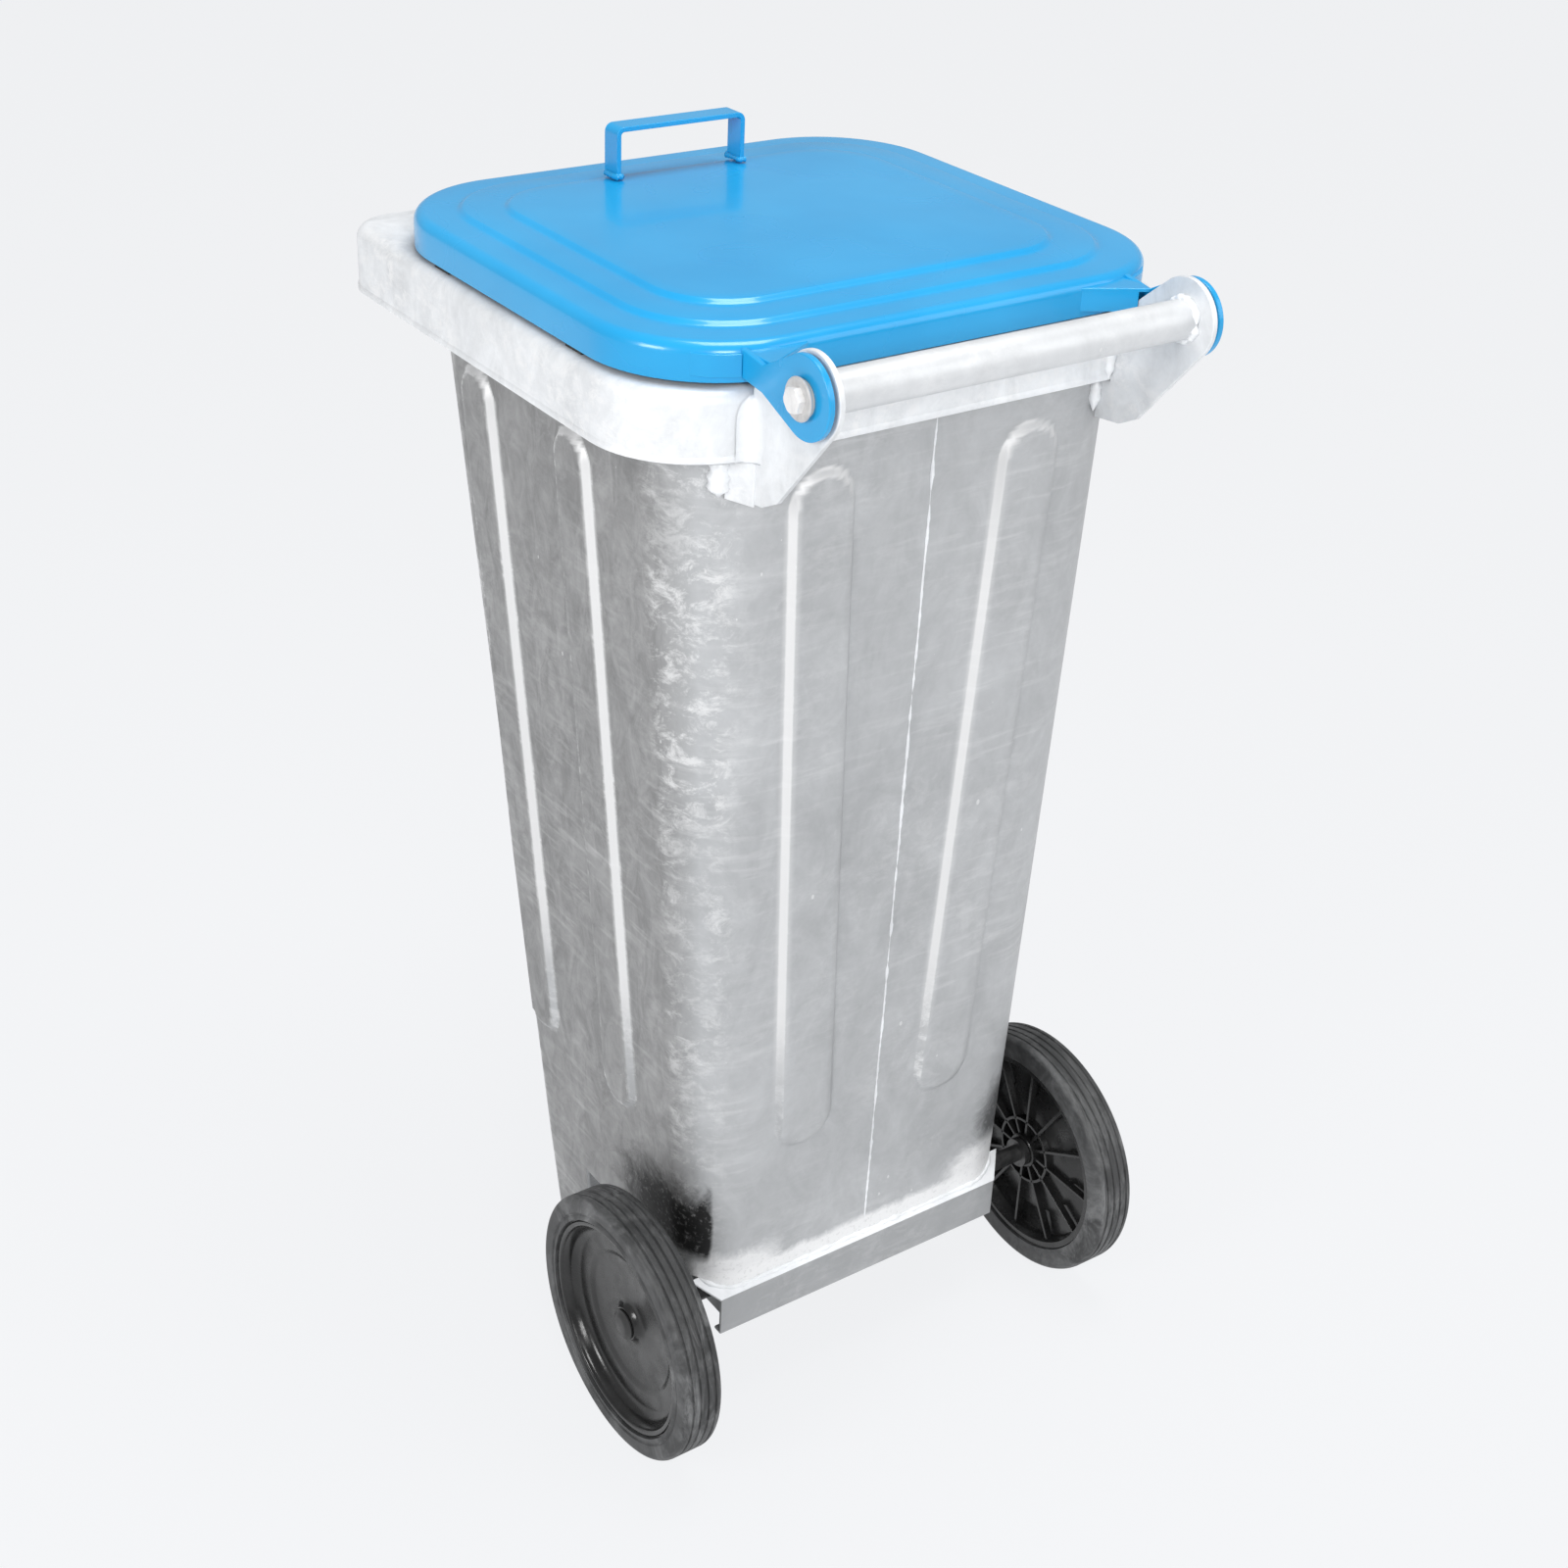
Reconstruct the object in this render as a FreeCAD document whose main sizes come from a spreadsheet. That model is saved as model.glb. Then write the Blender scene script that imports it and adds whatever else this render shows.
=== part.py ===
import FreeCAD, Part
import math
import os

from FreeCAD import Placement, Rotation, Vector
from Sketcher import Constraint

# Wheeled galvanised refuse bin with a hinged lid.
# Origin: centre of the footprint on the floor. +Z is up, -Y is the front (comb and
# lid handle), +Y is the rear (handle tube, hinge and wheels), +X is the left side of
# a person who stands behind the bin and pushes it. Lengths are in millimetres.

DRIVING_DIMENSIONS = {
    # tapered body of folded sheet
    "body_bottom": 146.0, "body_top": 976.0, "body_wall": 2.0,
    "base_half_width": 173.0, "base_front": 112.0, "base_rear": 167.0,
    "base_front_corner": 24.0, "base_rear_corner": 45.0,
    "top_half_width": 214.0, "top_front": 225.0, "top_rear": 183.0,
    "top_front_corner": 56.0, "top_rear_corner": 80.0,
    # embossed stiffening pads on each wall of the body
    "pad_radius": 27.0, "pad_height": 4.0, "pad_root": 1.0, "pad_top": 873.0, "pad_foot": 301.0,
    "end_pad_top": 96.0, "end_pad_foot": 74.0, "pad_draft": 35.0,
    "side_pad_radius": 23.0, "front_pad_top": 128.0, "front_pad_foot": 87.0,
    "rear_pad_top": 20.0, "rear_pad_foot": 47.0,
    # pan that closes the body
    "pan_upstand": 20.0, "pan_gap": 0.3,
    # pressed rim frame
    "rim_half_width": 247.0, "rim_front": 291.0, "rim_rear": 191.0, "rim_top": 978.0,
    "rim_depth": 52.0, "rim_wall": 2.0, "rim_fold": 9.0, "rim_crown_inset": 7.5,
    "rim_front_corner": 42.0, "rim_rear_corner": 80.0,
    # ribs of the lifting comb
    "comb_pitch": 58.0, "comb_rib": 3.0, "comb_clear": 1.0,
    # hinge line and handle tube
    "hinge_back": 260.0, "hinge_height": 995.0,
    "tube_radius": 15.0, "tube_bore": 13.0, "tube_half_length": 161.8,
    "plug_radius": 12.95, "plug_length": 24.0, "plug_clear": 0.05,
    # brackets that carry the handle tube
    "bracket_inner": 162.0, "bracket_plate": 4.5, "bracket_eye": 31.0,
    "bracket_root": 178.4, "bracket_low": 892.0, "bracket_toe": 224.0, "bracket_toe_high": 905.0,
    "bracket_heel": 206.0, "bracket_heel_high": 895.5, "bracket_hole": 6.3,
    "bracket_gap": 0.4, "bracket_step": 1.0,
    # pivot hardware
    "bolt_radius": 6.0, "bolt_inset": 2.0, "bolt_head_height": 5.0, "bolt_head_across": 17.0,
    "washer_radius": 15.0, "washer_bore": 6.3, "washer_inner": 176.4, "washer_plate": 2.8,
    "bush_radius": 9.95, "bush_bore": 6.06, "bush_flange": 13.0, "bush_flange_plate": 2.0,
    "thrust_inner": 166.7, "thrust_plate": 2.0, "thrust_radius": 14.0,
    # pressed lid
    "lid_half_width": 239.0, "lid_front": 246.0, "lid_rear": 192.0, "lid_corner": 98.0,
    "lid_bottom": 981.0, "lid_skirt": 28.0, "lid_wall": 2.0, "lid_fold": 8.0,
    "lid_step": 3.4, "lid_step_inset": 32.0, "lid_step_corner": 20.0, "lid_step_fold": 2.6,
    # arms that carry the lid
    "arm_inner": 169.0, "arm_plate": 5.0, "ear_radius": 29.5, "ear_hole": 10.0,
    "arm_front": 192.3, "arm_neck": 212.0, "arm_low": 985.5, "arm_high": 1006.0,
    "neck_low": 982.5, "neck_high": 1008.0, "strap_waist": 10.3, "strap_rise": 27.4,
    "gusset_high": 1004.0, "gusset_plate": 3.0, "gusset_run": 46.0, "gusset_reach": 25.0,
    "brace_outer": 161.3, "brace_low": 986.0,
    # lid handle of flat bar and rubber buffers
    "grip_half_span": 61.0, "grip_bar": 4.0, "grip_depth": 20.0, "grip_forward": 175.0,
    "grip_height": 1058.0, "grip_bend": 7.0,
    "buffer_width": 7.0, "buffer_length": 22.0, "buffer_height": 9.0, "buffer_air": 0.3,
    "buffer_front": 130.0, "buffer_rear": 70.0,
    # axle and the folded channel that holds it
    "axle_back": 142.0, "axle_height": 120.0, "axle_radius": 8.0, "axle_half_length": 236.0,
    "channel_half": 153.0, "channel_rear": 172.0, "channel_front": 112.0, "channel_sheet": 3.0,
    "channel_low": 91.0, "channel_fold": 131.0, "channel_deck": 145.7, "channel_deck_back": 150.0,
    "channel_apron": 100.0, "channel_lip": 10.0, "channel_bend": 1.0,
    "ledge_half": 172.0, "ledge_sheet": 2.6,
    "saddle_place": 140.0, "saddle_plate": 5.0, "saddle_low": 102.0, "saddle_gap": 0.2,
    "saddle_air": 1.5, "saddle_hole": 8.05,
    # wheels
    "wheel_radius": 120.0, "wheel_inner": 209.0, "wheel_outer": 246.0,
    "tyre_seat": 99.0, "tyre_shoulder": 5.0, "tread_groove": 2.5, "tread_groove_width": 3.0,
    "tyre_soft": 1.5, "felloe_radius": 89.0, "felloe_inset": 2.0, "felloe_draft": 2.0,
    "disc_face": 229.0, "disc_plate": 5.0, "disc_slope": 4.0,
    "disc_step_radius": 66.0, "disc_step": 3.0, "hub_radius": 17.0, "hub_inner": 212.0,
    "hub_outer": 233.0, "hub_bore": 11.0, "sleeve_bore": 8.06, "sleeve_radius": 10.9,
    "spoke_rib": 3.0, "spoke_inset": 4.0, "rib_root": 1.0, "ring_rib_radius": 31.0,
    "collar_radius": 14.0, "collar_width": 6.0, "collar_air": 0.5,
    "cap_radius": 14.0, "cap_depth": 4.6, "cap_air": 0.6, "cap_spare": 0.1, "axle_clear": 0.02,
    # folded foot under the front
    "foot_depth": 85.0, "foot_sheet": 3.0, "foot_lip": 22.0, "foot_taper_x": 7.0,
    "foot_taper_y": 20.0, "foot_corner": 24.0,
}
HEX_SIDES = 6
HEAD_TURN = 12.0  # degrees
TREAD_GROOVES = 4
SPOKES = 12
COMB_RIBS = 7
SIDES = {"left": 1, "right": -1}

doc = FreeCAD.newDocument("wheeled_bin")
sheet = doc.addObject("Spreadsheet::Sheet", "dims")
for row, (alias, number) in enumerate(DRIVING_DIMENSIONS.items(), start=1):
    sheet.set(f"A{row}", alias)
    sheet.set(f"B{row}", str(number))
    sheet.setAlias(f"B{row}", alias)
doc.recompute()


class Size:
    """A length that carries its number and the sheet expression that gives it."""

    def __init__(self, value, text):
        self.value = value
        self.text = text

    def join(self, other, sign, value):
        return Size(value, f"({self.text} {sign} {as_size(other).text})")

    def __add__(self, other):
        return self.join(other, "+", self.value + as_size(other).value)

    def __sub__(self, other):
        return self.join(other, "-", self.value - as_size(other).value)

    def __mul__(self, other):
        return self.join(other, "*", self.value * as_size(other).value)

    def __truediv__(self, other):
        return self.join(other, "/", self.value / as_size(other).value)

    def __neg__(self):
        return Size(-self.value, f"(0 - {self.text})")


def as_size(number):
    """Give a plain number as a Size, and a Size as it is."""
    if isinstance(number, Size):
        return number
    return Size(float(number), f"({float(number)})")


def dim(alias):
    """Give the driving dimension of that alias."""
    return Size(DRIVING_DIMENSIONS[alias], f"dims.{alias}")


def bind(thing, path, size):
    """Set a length of an object from the sheet."""
    thing.setExpression(path, as_size(size).text)


# ---------------------------------------------------------------- sketches


def new_body(label):
    body = doc.addObject("PartDesign::Body", label)
    body.Label = label
    return body


def origin_plane(body, role):
    return next(item for item in body.Origin.OriginFeatures if item.Role == role)


def new_sketch(body, name, role, offset=(0, 0, 0), tilt=0.0):
    """Attach a sketch to an origin plane, moved by offset and tilted about its own x axis."""
    sketch = body.newObject("Sketcher::SketchObject", name)
    sketch.AttachmentSupport = [(origin_plane(body, role), "")]
    sketch.MapMode = "FlatFace"
    x, y, z = (as_size(part) for part in offset)
    turn = Rotation(Vector(1, 0, 0), tilt)
    sketch.AttachmentOffset = Placement(Vector(x.value, y.value, z.value), turn)
    for axis, part in zip("xyz", (x, y, z)):
        bind(sketch, f"AttachmentOffset.Base.{axis}", part)
    return sketch


def place_point(sketch, geometry, end, axis, size):
    """Hold a point at a signed distance from the sketch's origin."""
    kind = "DistanceX" if axis == 0 else "DistanceY"
    size = as_size(size)
    if size.value >= 0:
        index = sketch.addConstraint(Constraint(kind, -1, 1, geometry, end, size.value))
        text = size.text
    else:
        index = sketch.addConstraint(Constraint(kind, geometry, end, -1, 1, -size.value))
        text = (-size).text
    name = f"{'xy'[axis]}{geometry}_{end}"
    sketch.renameConstraint(index, name)
    sketch.setExpression(f"Constraints.{name}", text)


def hold_radius(sketch, geometry, size):
    index = sketch.addConstraint(Constraint("Radius", geometry, as_size(size).value))
    sketch.renameConstraint(index, f"radius{geometry}")
    bind(sketch, f"Constraints.radius{geometry}", size)


def add_circle(sketch, x, y, radius):
    centre = Vector(as_size(x).value, as_size(y).value, 0)
    circle = Part.Circle(centre, Vector(0, 0, 1), as_size(radius).value)
    index = sketch.addGeometry(circle, False)
    place_point(sketch, index, 3, 0, x)
    place_point(sketch, index, 3, 1, y)
    hold_radius(sketch, index, radius)


def add_outline(sketch, points):
    """Draw a closed outline of straight lines, each corner held from the sheet."""
    points = [(as_size(x), as_size(y)) for x, y in points]
    places = [Vector(x.value, y.value, 0) for x, y in points]
    first = sketch.GeometryCount
    for start, end in zip(places, places[1:] + places[:1]):
        sketch.addGeometry(Part.LineSegment(start, end), False)
    for number, (x, y) in enumerate(points):
        line = first + number
        before = first + (number - 1) % len(points)
        sketch.addConstraint(Constraint("Coincident", before, 2, line, 1))
        place_point(sketch, line, 1, 0, x)
        place_point(sketch, line, 1, 1, y)


def add_rounded_rectangle(sketch, half, front, rear, front_corner, rear_corner):
    """Draw a rectangle between x = -half and half, y = -front and rear, with round corners."""
    width, fore, back = half.value, front.value, rear.value
    near, far = front_corner.value, rear_corner.value
    corners = [
        (width - near, -fore + near, near, -90), (width - far, back - far, far, 0),
        (-width + far, back - far, far, 90), (-width + near, -fore + near, near, 180),
    ]
    arcs = []
    for x, y, radius, start in corners:
        circle = Part.Circle(Vector(x, y, 0), Vector(0, 0, 1), radius)
        arc = Part.ArcOfCircle(circle, math.radians(start), math.radians(start + 90))
        arcs.append(sketch.addGeometry(arc, False))
    lines = []
    for arc, following in zip(arcs, arcs[1:] + arcs[:1]):
        start = sketch.getPoint(arc, 2)
        end = sketch.getPoint(following, 1)
        line = sketch.addGeometry(Part.LineSegment(start, end), False)
        sketch.addConstraint(Constraint("Tangent", arc, 2, line, 1))
        sketch.addConstraint(Constraint("Tangent", line, 2, following, 1))
        lines.append(line)
    right, top, left, bottom = lines
    for line in (right, left):
        sketch.addConstraint(Constraint("Vertical", line))
    for line in (top, bottom):
        sketch.addConstraint(Constraint("Horizontal", line))
    sketch.addConstraint(Constraint("Equal", arcs[0], arcs[3]))
    sketch.addConstraint(Constraint("Equal", arcs[1], arcs[2]))
    hold_radius(sketch, arcs[0], front_corner)
    hold_radius(sketch, arcs[1], rear_corner)
    place_point(sketch, right, 1, 0, half)
    place_point(sketch, left, 1, 0, -half)
    place_point(sketch, top, 1, 1, rear)
    place_point(sketch, bottom, 1, 1, -front)


def add_slot(sketch, foot, head, radius):
    """Draw a slot with round ends between the centres foot and head."""
    foot = [as_size(part) for part in foot]
    head = [as_size(part) for part in head]
    low = Vector(foot[0].value, foot[1].value, 0)
    high = Vector(head[0].value, head[1].value, 0)
    lean = math.atan2(high.y - low.y, high.x - low.x)
    size = as_size(radius).value
    axis = Vector(0, 0, 1)
    quarter = math.pi / 2
    head_arc = Part.ArcOfCircle(Part.Circle(high, axis, size), lean - quarter, lean + quarter)
    foot_arc = Part.ArcOfCircle(Part.Circle(low, axis, size), lean + quarter, lean + 3 * quarter)
    top = sketch.addGeometry(head_arc, False)
    bottom = sketch.addGeometry(foot_arc, False)
    for first, second in ((top, bottom), (bottom, top)):
        start = sketch.getPoint(first, 2)
        end = sketch.getPoint(second, 1)
        line = sketch.addGeometry(Part.LineSegment(start, end), False)
        sketch.addConstraint(Constraint("Tangent", first, 2, line, 1))
        sketch.addConstraint(Constraint("Tangent", line, 2, second, 1))
    sketch.addConstraint(Constraint("Equal", top, bottom))
    hold_radius(sketch, top, radius)
    for arc, centre in ((top, head), (bottom, foot)):
        place_point(sketch, arc, 3, 0, centre[0])
        place_point(sketch, arc, 3, 1, centre[1])


# ---------------------------------------------------------------- features


def add_feature(body, kind, name, sketch, length, backwards=False):
    """Add a Pad or Pocket of a sketch with its length from the sheet."""
    feature = body.newObject(f"PartDesign::{kind}", name)
    feature.Profile = sketch
    feature.Length = as_size(length).value
    bind(feature, "Length", length)
    feature.Reversed = backwards
    sketch.Visibility = False
    return feature


def add_revolution(body, name, sketch):
    """Turn a sketch a full turn about its own x axis."""
    feature = body.newObject("PartDesign::Revolution", name)
    feature.Profile = sketch
    feature.ReferenceAxis = (sketch, ["H_Axis"])
    feature.Angle = 360.0
    sketch.Visibility = False
    return feature


def add_loft(body, kind, name, sections):
    feature = body.newObject(f"PartDesign::{kind}", name)
    feature.Profile = sections[0]
    feature.Sections = sections[1:]
    feature.Ruled = True
    return feature


def fillet_level(body, name, base, height, radius):
    """Round every edge of a feature that lies flat at a height."""
    doc.recompute()
    level = as_size(height).value
    edges = []
    for number, edge in enumerate(base.Shape.Edges, start=1):
        box = edge.BoundBox
        if abs(box.ZMin - level) < 0.01 and abs(box.ZMax - level) < 0.01:
            edges.append(f"Edge{number}")
    feature = body.newObject("PartDesign::Fillet", name)
    feature.Base = (base, edges)
    feature.Radius = as_size(radius).value
    bind(feature, "Radius", radius)
    return feature


def plate(label, role, draw, place, thickness, backwards=False):
    """Make a body from one padded sketch that the function draw fills in."""
    body = new_body(label)
    sketch = new_sketch(body, f"{label}_sketch", role, place)
    draw(sketch)
    add_feature(body, "Pad", f"{label}_pad", sketch, thickness, backwards)
    return body


def ring(label, side, start, length, radius, bore, back, height):
    """Make a washer or sleeve on an axis along X, starting at start on one side."""
    def draw(sketch):
        add_circle(sketch, back, height, radius)
        add_circle(sketch, back, height, bore)

    return plate(label, "YZ_Plane", draw, (0, 0, start * side), length, side < 0)


def group(label, members):
    """Join separate solids of one kind in one node."""
    compound = doc.addObject("Part::Compound", label)
    compound.Label = label
    compound.Links = members
    return compound


def box(name, x, y, z, length, width, height):
    item = doc.addObject("Part::Box", name)
    for path, size in (("Length", length), ("Width", width), ("Height", height),
                       ("Placement.Base.x", x), ("Placement.Base.y", y), ("Placement.Base.z", z)):
        bind(item, path, size)
    return item


# ---------------------------------------------------------------- body and base


def body_section(body, name, height, share, inset):
    """Draw the body's outline at a height; share is 0 at the bottom and 1 at the top."""
    def blend(low, high):
        return dim(low) + (dim(high) - dim(low)) * share - inset

    sketch = new_sketch(body, name, "XY_Plane", (0, 0, height))
    add_rounded_rectangle(sketch, blend("base_half_width", "top_half_width"),
                          blend("base_front", "top_front"), blend("base_rear", "top_rear"),
                          blend("base_front_corner", "top_front_corner"),
                          blend("base_rear_corner", "top_rear_corner"))
    sketch.Visibility = False
    return sketch


def wall_lean(low, high):
    """Give the angle of a wall from the vertical, in degrees."""
    rise = (dim("body_top") - dim("body_bottom")).value
    return math.degrees(math.atan2((dim(high) - dim(low)).value, rise))


def add_pads(body, step, kind, inset):
    """Raise or sink the eight stiffening pads, two on each wall.

    Each form starts a little inside the wall, so that it meets the round corners.
    """
    root = dim("pad_root")
    reach = dim("pad_height") + root
    low = dim("pad_foot") - dim("body_bottom")
    high = dim("pad_top") - dim("body_bottom")
    out_walls = (("front", "XZ_Plane", "base_front", "top_front", -1, 1),
                 ("rear", "XZ_Plane", "base_rear", "top_rear", 1, -1),
                 ("left", "YZ_Plane", "base_half_width", "top_half_width", 1, 1),
                 ("right", "YZ_Plane", "base_half_width", "top_half_width", -1, -1))
    for wall, role, base, top, side, turn in out_walls:
        # the local z axis of the XZ plane points to the front, that of the YZ plane to +X
        outwards = -side if role == "XZ_Plane" else side
        place = (0, dim("body_bottom"), (dim(base) - inset - root) * outwards)
        for number, hand in enumerate((-1, 1)):
            name = f"{step}_{wall}_{number}"
            sketch = new_sketch(body, name, role, place, turn * wall_lean(base, top))
            radius = dim("side_pad_radius")
            if role == "XZ_Plane":
                radius = dim("pad_radius")
                foot, head = dim("end_pad_foot") * hand, dim("end_pad_top") * hand
            elif hand > 0:
                foot, head = dim("rear_pad_foot"), dim("rear_pad_top")
            else:
                foot, head = -dim("front_pad_foot"), -dim("front_pad_top")
            add_slot(sketch, (foot, low), (head, high), radius - inset)
            feature = add_feature(body, kind, f"{name}_form", sketch, reach,
                                  (outwards < 0) != (kind == "Pocket"))
            feature.TaperAngle = -dim("pad_draft").value
            bind(feature, "TaperAngle", -dim("pad_draft"))


def make_body_shell():
    body = new_body("body_shell")
    wall = dim("body_wall")
    outer = [body_section(body, "outer_base", dim("body_bottom"), 0, 0),
             body_section(body, "outer_top", dim("body_top"), 1, 0)]
    add_loft(body, "AdditiveLoft", "outer_form", outer)
    add_pads(body, "pad", "Pad", as_size(0.0))
    inner = [body_section(body, "inner_base", dim("body_bottom"), 0, wall),
             body_section(body, "inner_top", dim("body_top"), 1, wall)]
    add_loft(body, "SubtractiveLoft", "inner_form", inner)
    add_pads(body, "hollow", "Pocket", wall)
    return body


def make_base_pan():
    body = new_body("base_pan")
    inset = dim("body_wall") + dim("pan_gap")
    wall = dim("body_wall")
    for name, kind, lift, extra in (("pan", "Pad", 0, 0), ("hollow", "Pocket", wall, wall)):
        sketch = body_section(body, f"{name}_outline", dim("body_bottom") + lift, 0, inset + extra)
        height = dim("pan_upstand") - lift
        add_feature(body, kind, f"{name}_form", sketch, height, kind == "Pocket")
    return body


def make_front_foot():
    body = new_body("front_foot")
    top = dim("body_bottom") - dim("pan_gap")
    sheet_thickness = dim("foot_sheet")

    def section(name, height, shrink_x, shrink_y, inset):
        sketch = new_sketch(body, name, "XY_Plane", (0, 0, height))
        corner = dim("foot_corner") - inset
        add_rounded_rectangle(sketch, dim("base_half_width") - shrink_x - inset,
                              dim("base_front") - shrink_y - inset, dim("base_rear") - inset,
                              corner, corner)
        return sketch

    sides, run = dim("foot_taper_x"), dim("foot_taper_y")
    outer = [section("outer_low", 0, sides, run, 0), section("outer_high", top, 0, 0, 0)]
    add_loft(body, "AdditiveLoft", "outer_form", outer)
    inner = [section("inner_low", sheet_thickness, sides, run, sheet_thickness),
             section("inner_high", top, 0, 0, sheet_thickness)]
    add_loft(body, "SubtractiveLoft", "inner_form", inner)
    well = section("well", sheet_thickness, sides, run, dim("foot_lip"))
    add_feature(body, "Pocket", "well_form", well, sheet_thickness)
    cut = new_sketch(body, "rear_cut", "XY_Plane")
    reach = dim("base_half_width") + dim("foot_depth")
    fore = dim("foot_depth") - dim("base_front")
    add_outline(cut, [(-reach, fore), (reach, fore), (reach, reach), (-reach, reach)])
    add_feature(body, "Pocket", "rear_cut_form", cut, dim("body_bottom"), True)
    return body


# ---------------------------------------------------------------- rim and handle


def make_rim_frame():
    body = new_body("rim_frame")
    wall = dim("rim_wall")
    low = dim("rim_top") - dim("rim_depth")

    def outline(name, height, inset):
        sketch = new_sketch(body, name, "XY_Plane", (0, 0, height))
        add_rounded_rectangle(sketch, dim("rim_half_width") - inset, dim("rim_front") - inset,
                              dim("rim_rear") - inset, dim("rim_front_corner") - inset,
                              dim("rim_rear_corner") - inset)
        return sketch

    solid = add_feature(body, "Pad", "frame_form", outline("outer", low, as_size(0.0)),
                        dim("rim_depth"))
    fillet_level(body, "outer_fold", solid, dim("rim_top"), dim("rim_fold"))
    fold = dim("rim_fold")
    add_feature(body, "Pocket", "skirt_hollow", outline("inner", low, wall),
                dim("rim_depth") - fold, True)
    crown = outline("crown", dim("rim_top") - fold, dim("rim_crown_inset"))
    add_feature(body, "Pocket", "crown_hollow", crown, fold - wall, True)
    mouth = body_section(body, "mouth", dim("rim_top") - wall, 1, dim("body_wall"))
    add_feature(body, "Pocket", "mouth_form", mouth, wall, True)
    return body


def make_comb_ribs():
    gap = dim("comb_clear")
    start = -dim("rim_front") + dim("rim_wall") + gap
    end = -dim("top_front") - gap
    low = dim("rim_top") - dim("rim_depth") + gap
    high = dim("rim_top") - dim("rim_fold") - gap
    ribs = []
    for number in range(COMB_RIBS):
        shift = number - (COMB_RIBS - 1) / 2
        across = dim("comb_pitch") * shift - dim("comb_rib") / 2
        ribs.append(box(f"comb_rib_{number}", across, start, low,
                        dim("comb_rib"), end - start, high - low))
    return group("comb_ribs", ribs)


def bracket_outline(sketch):
    """Draw the bracket: a round eye on the hinge line and a plate down to the body."""
    skirt = dim("rim_rear") + dim("bracket_gap")
    under = dim("rim_top") - dim("rim_depth") - dim("bracket_step")
    corners = [(skirt, dim("rim_top")), (skirt, under), (dim("bracket_root"), under),
               (dim("bracket_root"), dim("bracket_low")),
               (dim("bracket_heel"), dim("bracket_heel_high")),
               (dim("bracket_toe"), dim("bracket_toe_high"))]
    centre = Vector(dim("hinge_back").value, dim("hinge_height").value, 0)
    eye = dim("bracket_eye")

    def tangent_angle(corner, side):
        """Give the angle on the eye where a line from a corner touches it."""
        x, y = corner[0].value - centre.x, corner[1].value - centre.y
        return math.atan2(y, x) + side * math.acos(eye.value / math.hypot(x, y))

    upper = tangent_angle(corners[0], -1)
    lower = tangent_angle(corners[-1], 1)
    circle = Part.Circle(centre, Vector(0, 0, 1), eye.value)
    arc = sketch.addGeometry(Part.ArcOfCircle(circle, lower, upper), False)
    places = [Vector(x.value, y.value, 0) for x, y in corners]
    ends = [sketch.getPoint(arc, 2)] + places + [sketch.getPoint(arc, 1)]
    lines = [sketch.addGeometry(Part.LineSegment(start, end), False)
             for start, end in zip(ends, ends[1:])]
    sketch.addConstraint(Constraint("Tangent", arc, 2, lines[0], 1))
    sketch.addConstraint(Constraint("Tangent", lines[-1], 2, arc, 1))
    for before, line in zip(lines, lines[1:]):
        sketch.addConstraint(Constraint("Coincident", before, 2, line, 1))
    for line, (x, y) in zip(lines[1:], corners):
        place_point(sketch, line, 1, 0, x)
        place_point(sketch, line, 1, 1, y)
    place_point(sketch, arc, 3, 0, dim("hinge_back"))
    place_point(sketch, arc, 3, 1, dim("hinge_height"))
    hold_radius(sketch, arc, eye)
    add_circle(sketch, dim("hinge_back"), dim("hinge_height"), dim("bracket_hole"))


def make_hinge_bracket(hand, side):
    return plate(f"hinge_bracket_{hand}", "YZ_Plane", bracket_outline,
                 (0, 0, dim("bracket_inner") * side), dim("bracket_plate"), side < 0)


def make_handle_tube():
    half = dim("tube_half_length")
    return ring("handle_tube", 1, -half, half * 2, dim("tube_radius"), dim("tube_bore"),
                dim("hinge_back"), dim("hinge_height"))


def make_tube_plug(hand, side):
    start = dim("tube_half_length") - dim("plug_length")
    return ring(f"tube_plug_{hand}", side, start, dim("plug_length"), dim("plug_radius"),
                dim("bolt_radius") + dim("plug_clear"), dim("hinge_back"), dim("hinge_height"))


# ---------------------------------------------------------------- pivot hardware


def make_pivot_bolt(hand, side):
    body = new_body(f"pivot_bolt_{hand}")
    start = dim("tube_half_length") - dim("plug_length") + dim("bolt_inset")
    seat = dim("washer_inner") + dim("washer_plate")
    shank = new_sketch(body, "shank", "YZ_Plane", (0, 0, start * side))
    add_circle(shank, dim("hinge_back"), dim("hinge_height"), dim("bolt_radius"))
    add_feature(body, "Pad", "shank_form", shank, seat - start, side < 0)
    head = new_sketch(body, "head", "YZ_Plane", (0, 0, seat * side))
    corner = dim("bolt_head_across") / math.sqrt(3)
    corners = []
    for number in range(HEX_SIDES):
        angle = math.radians(360 / HEX_SIDES * number + HEAD_TURN)
        corners.append((dim("hinge_back") + corner * math.cos(angle),
                        dim("hinge_height") + corner * math.sin(angle)))
    add_outline(head, corners)
    add_feature(body, "Pad", "head_form", head, dim("bolt_head_height"), side < 0)
    return body


def make_pivot_washer(hand, side):
    return ring(f"pivot_washer_{hand}", side, dim("washer_inner"), dim("washer_plate"),
                dim("washer_radius"), dim("washer_bore"), dim("hinge_back"), dim("hinge_height"))


def make_thrust_washer(hand, side):
    return ring(f"thrust_washer_{hand}", side, dim("thrust_inner"), dim("thrust_plate"),
                dim("thrust_radius"), dim("washer_bore"), dim("hinge_back"),
                dim("hinge_height"))


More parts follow.
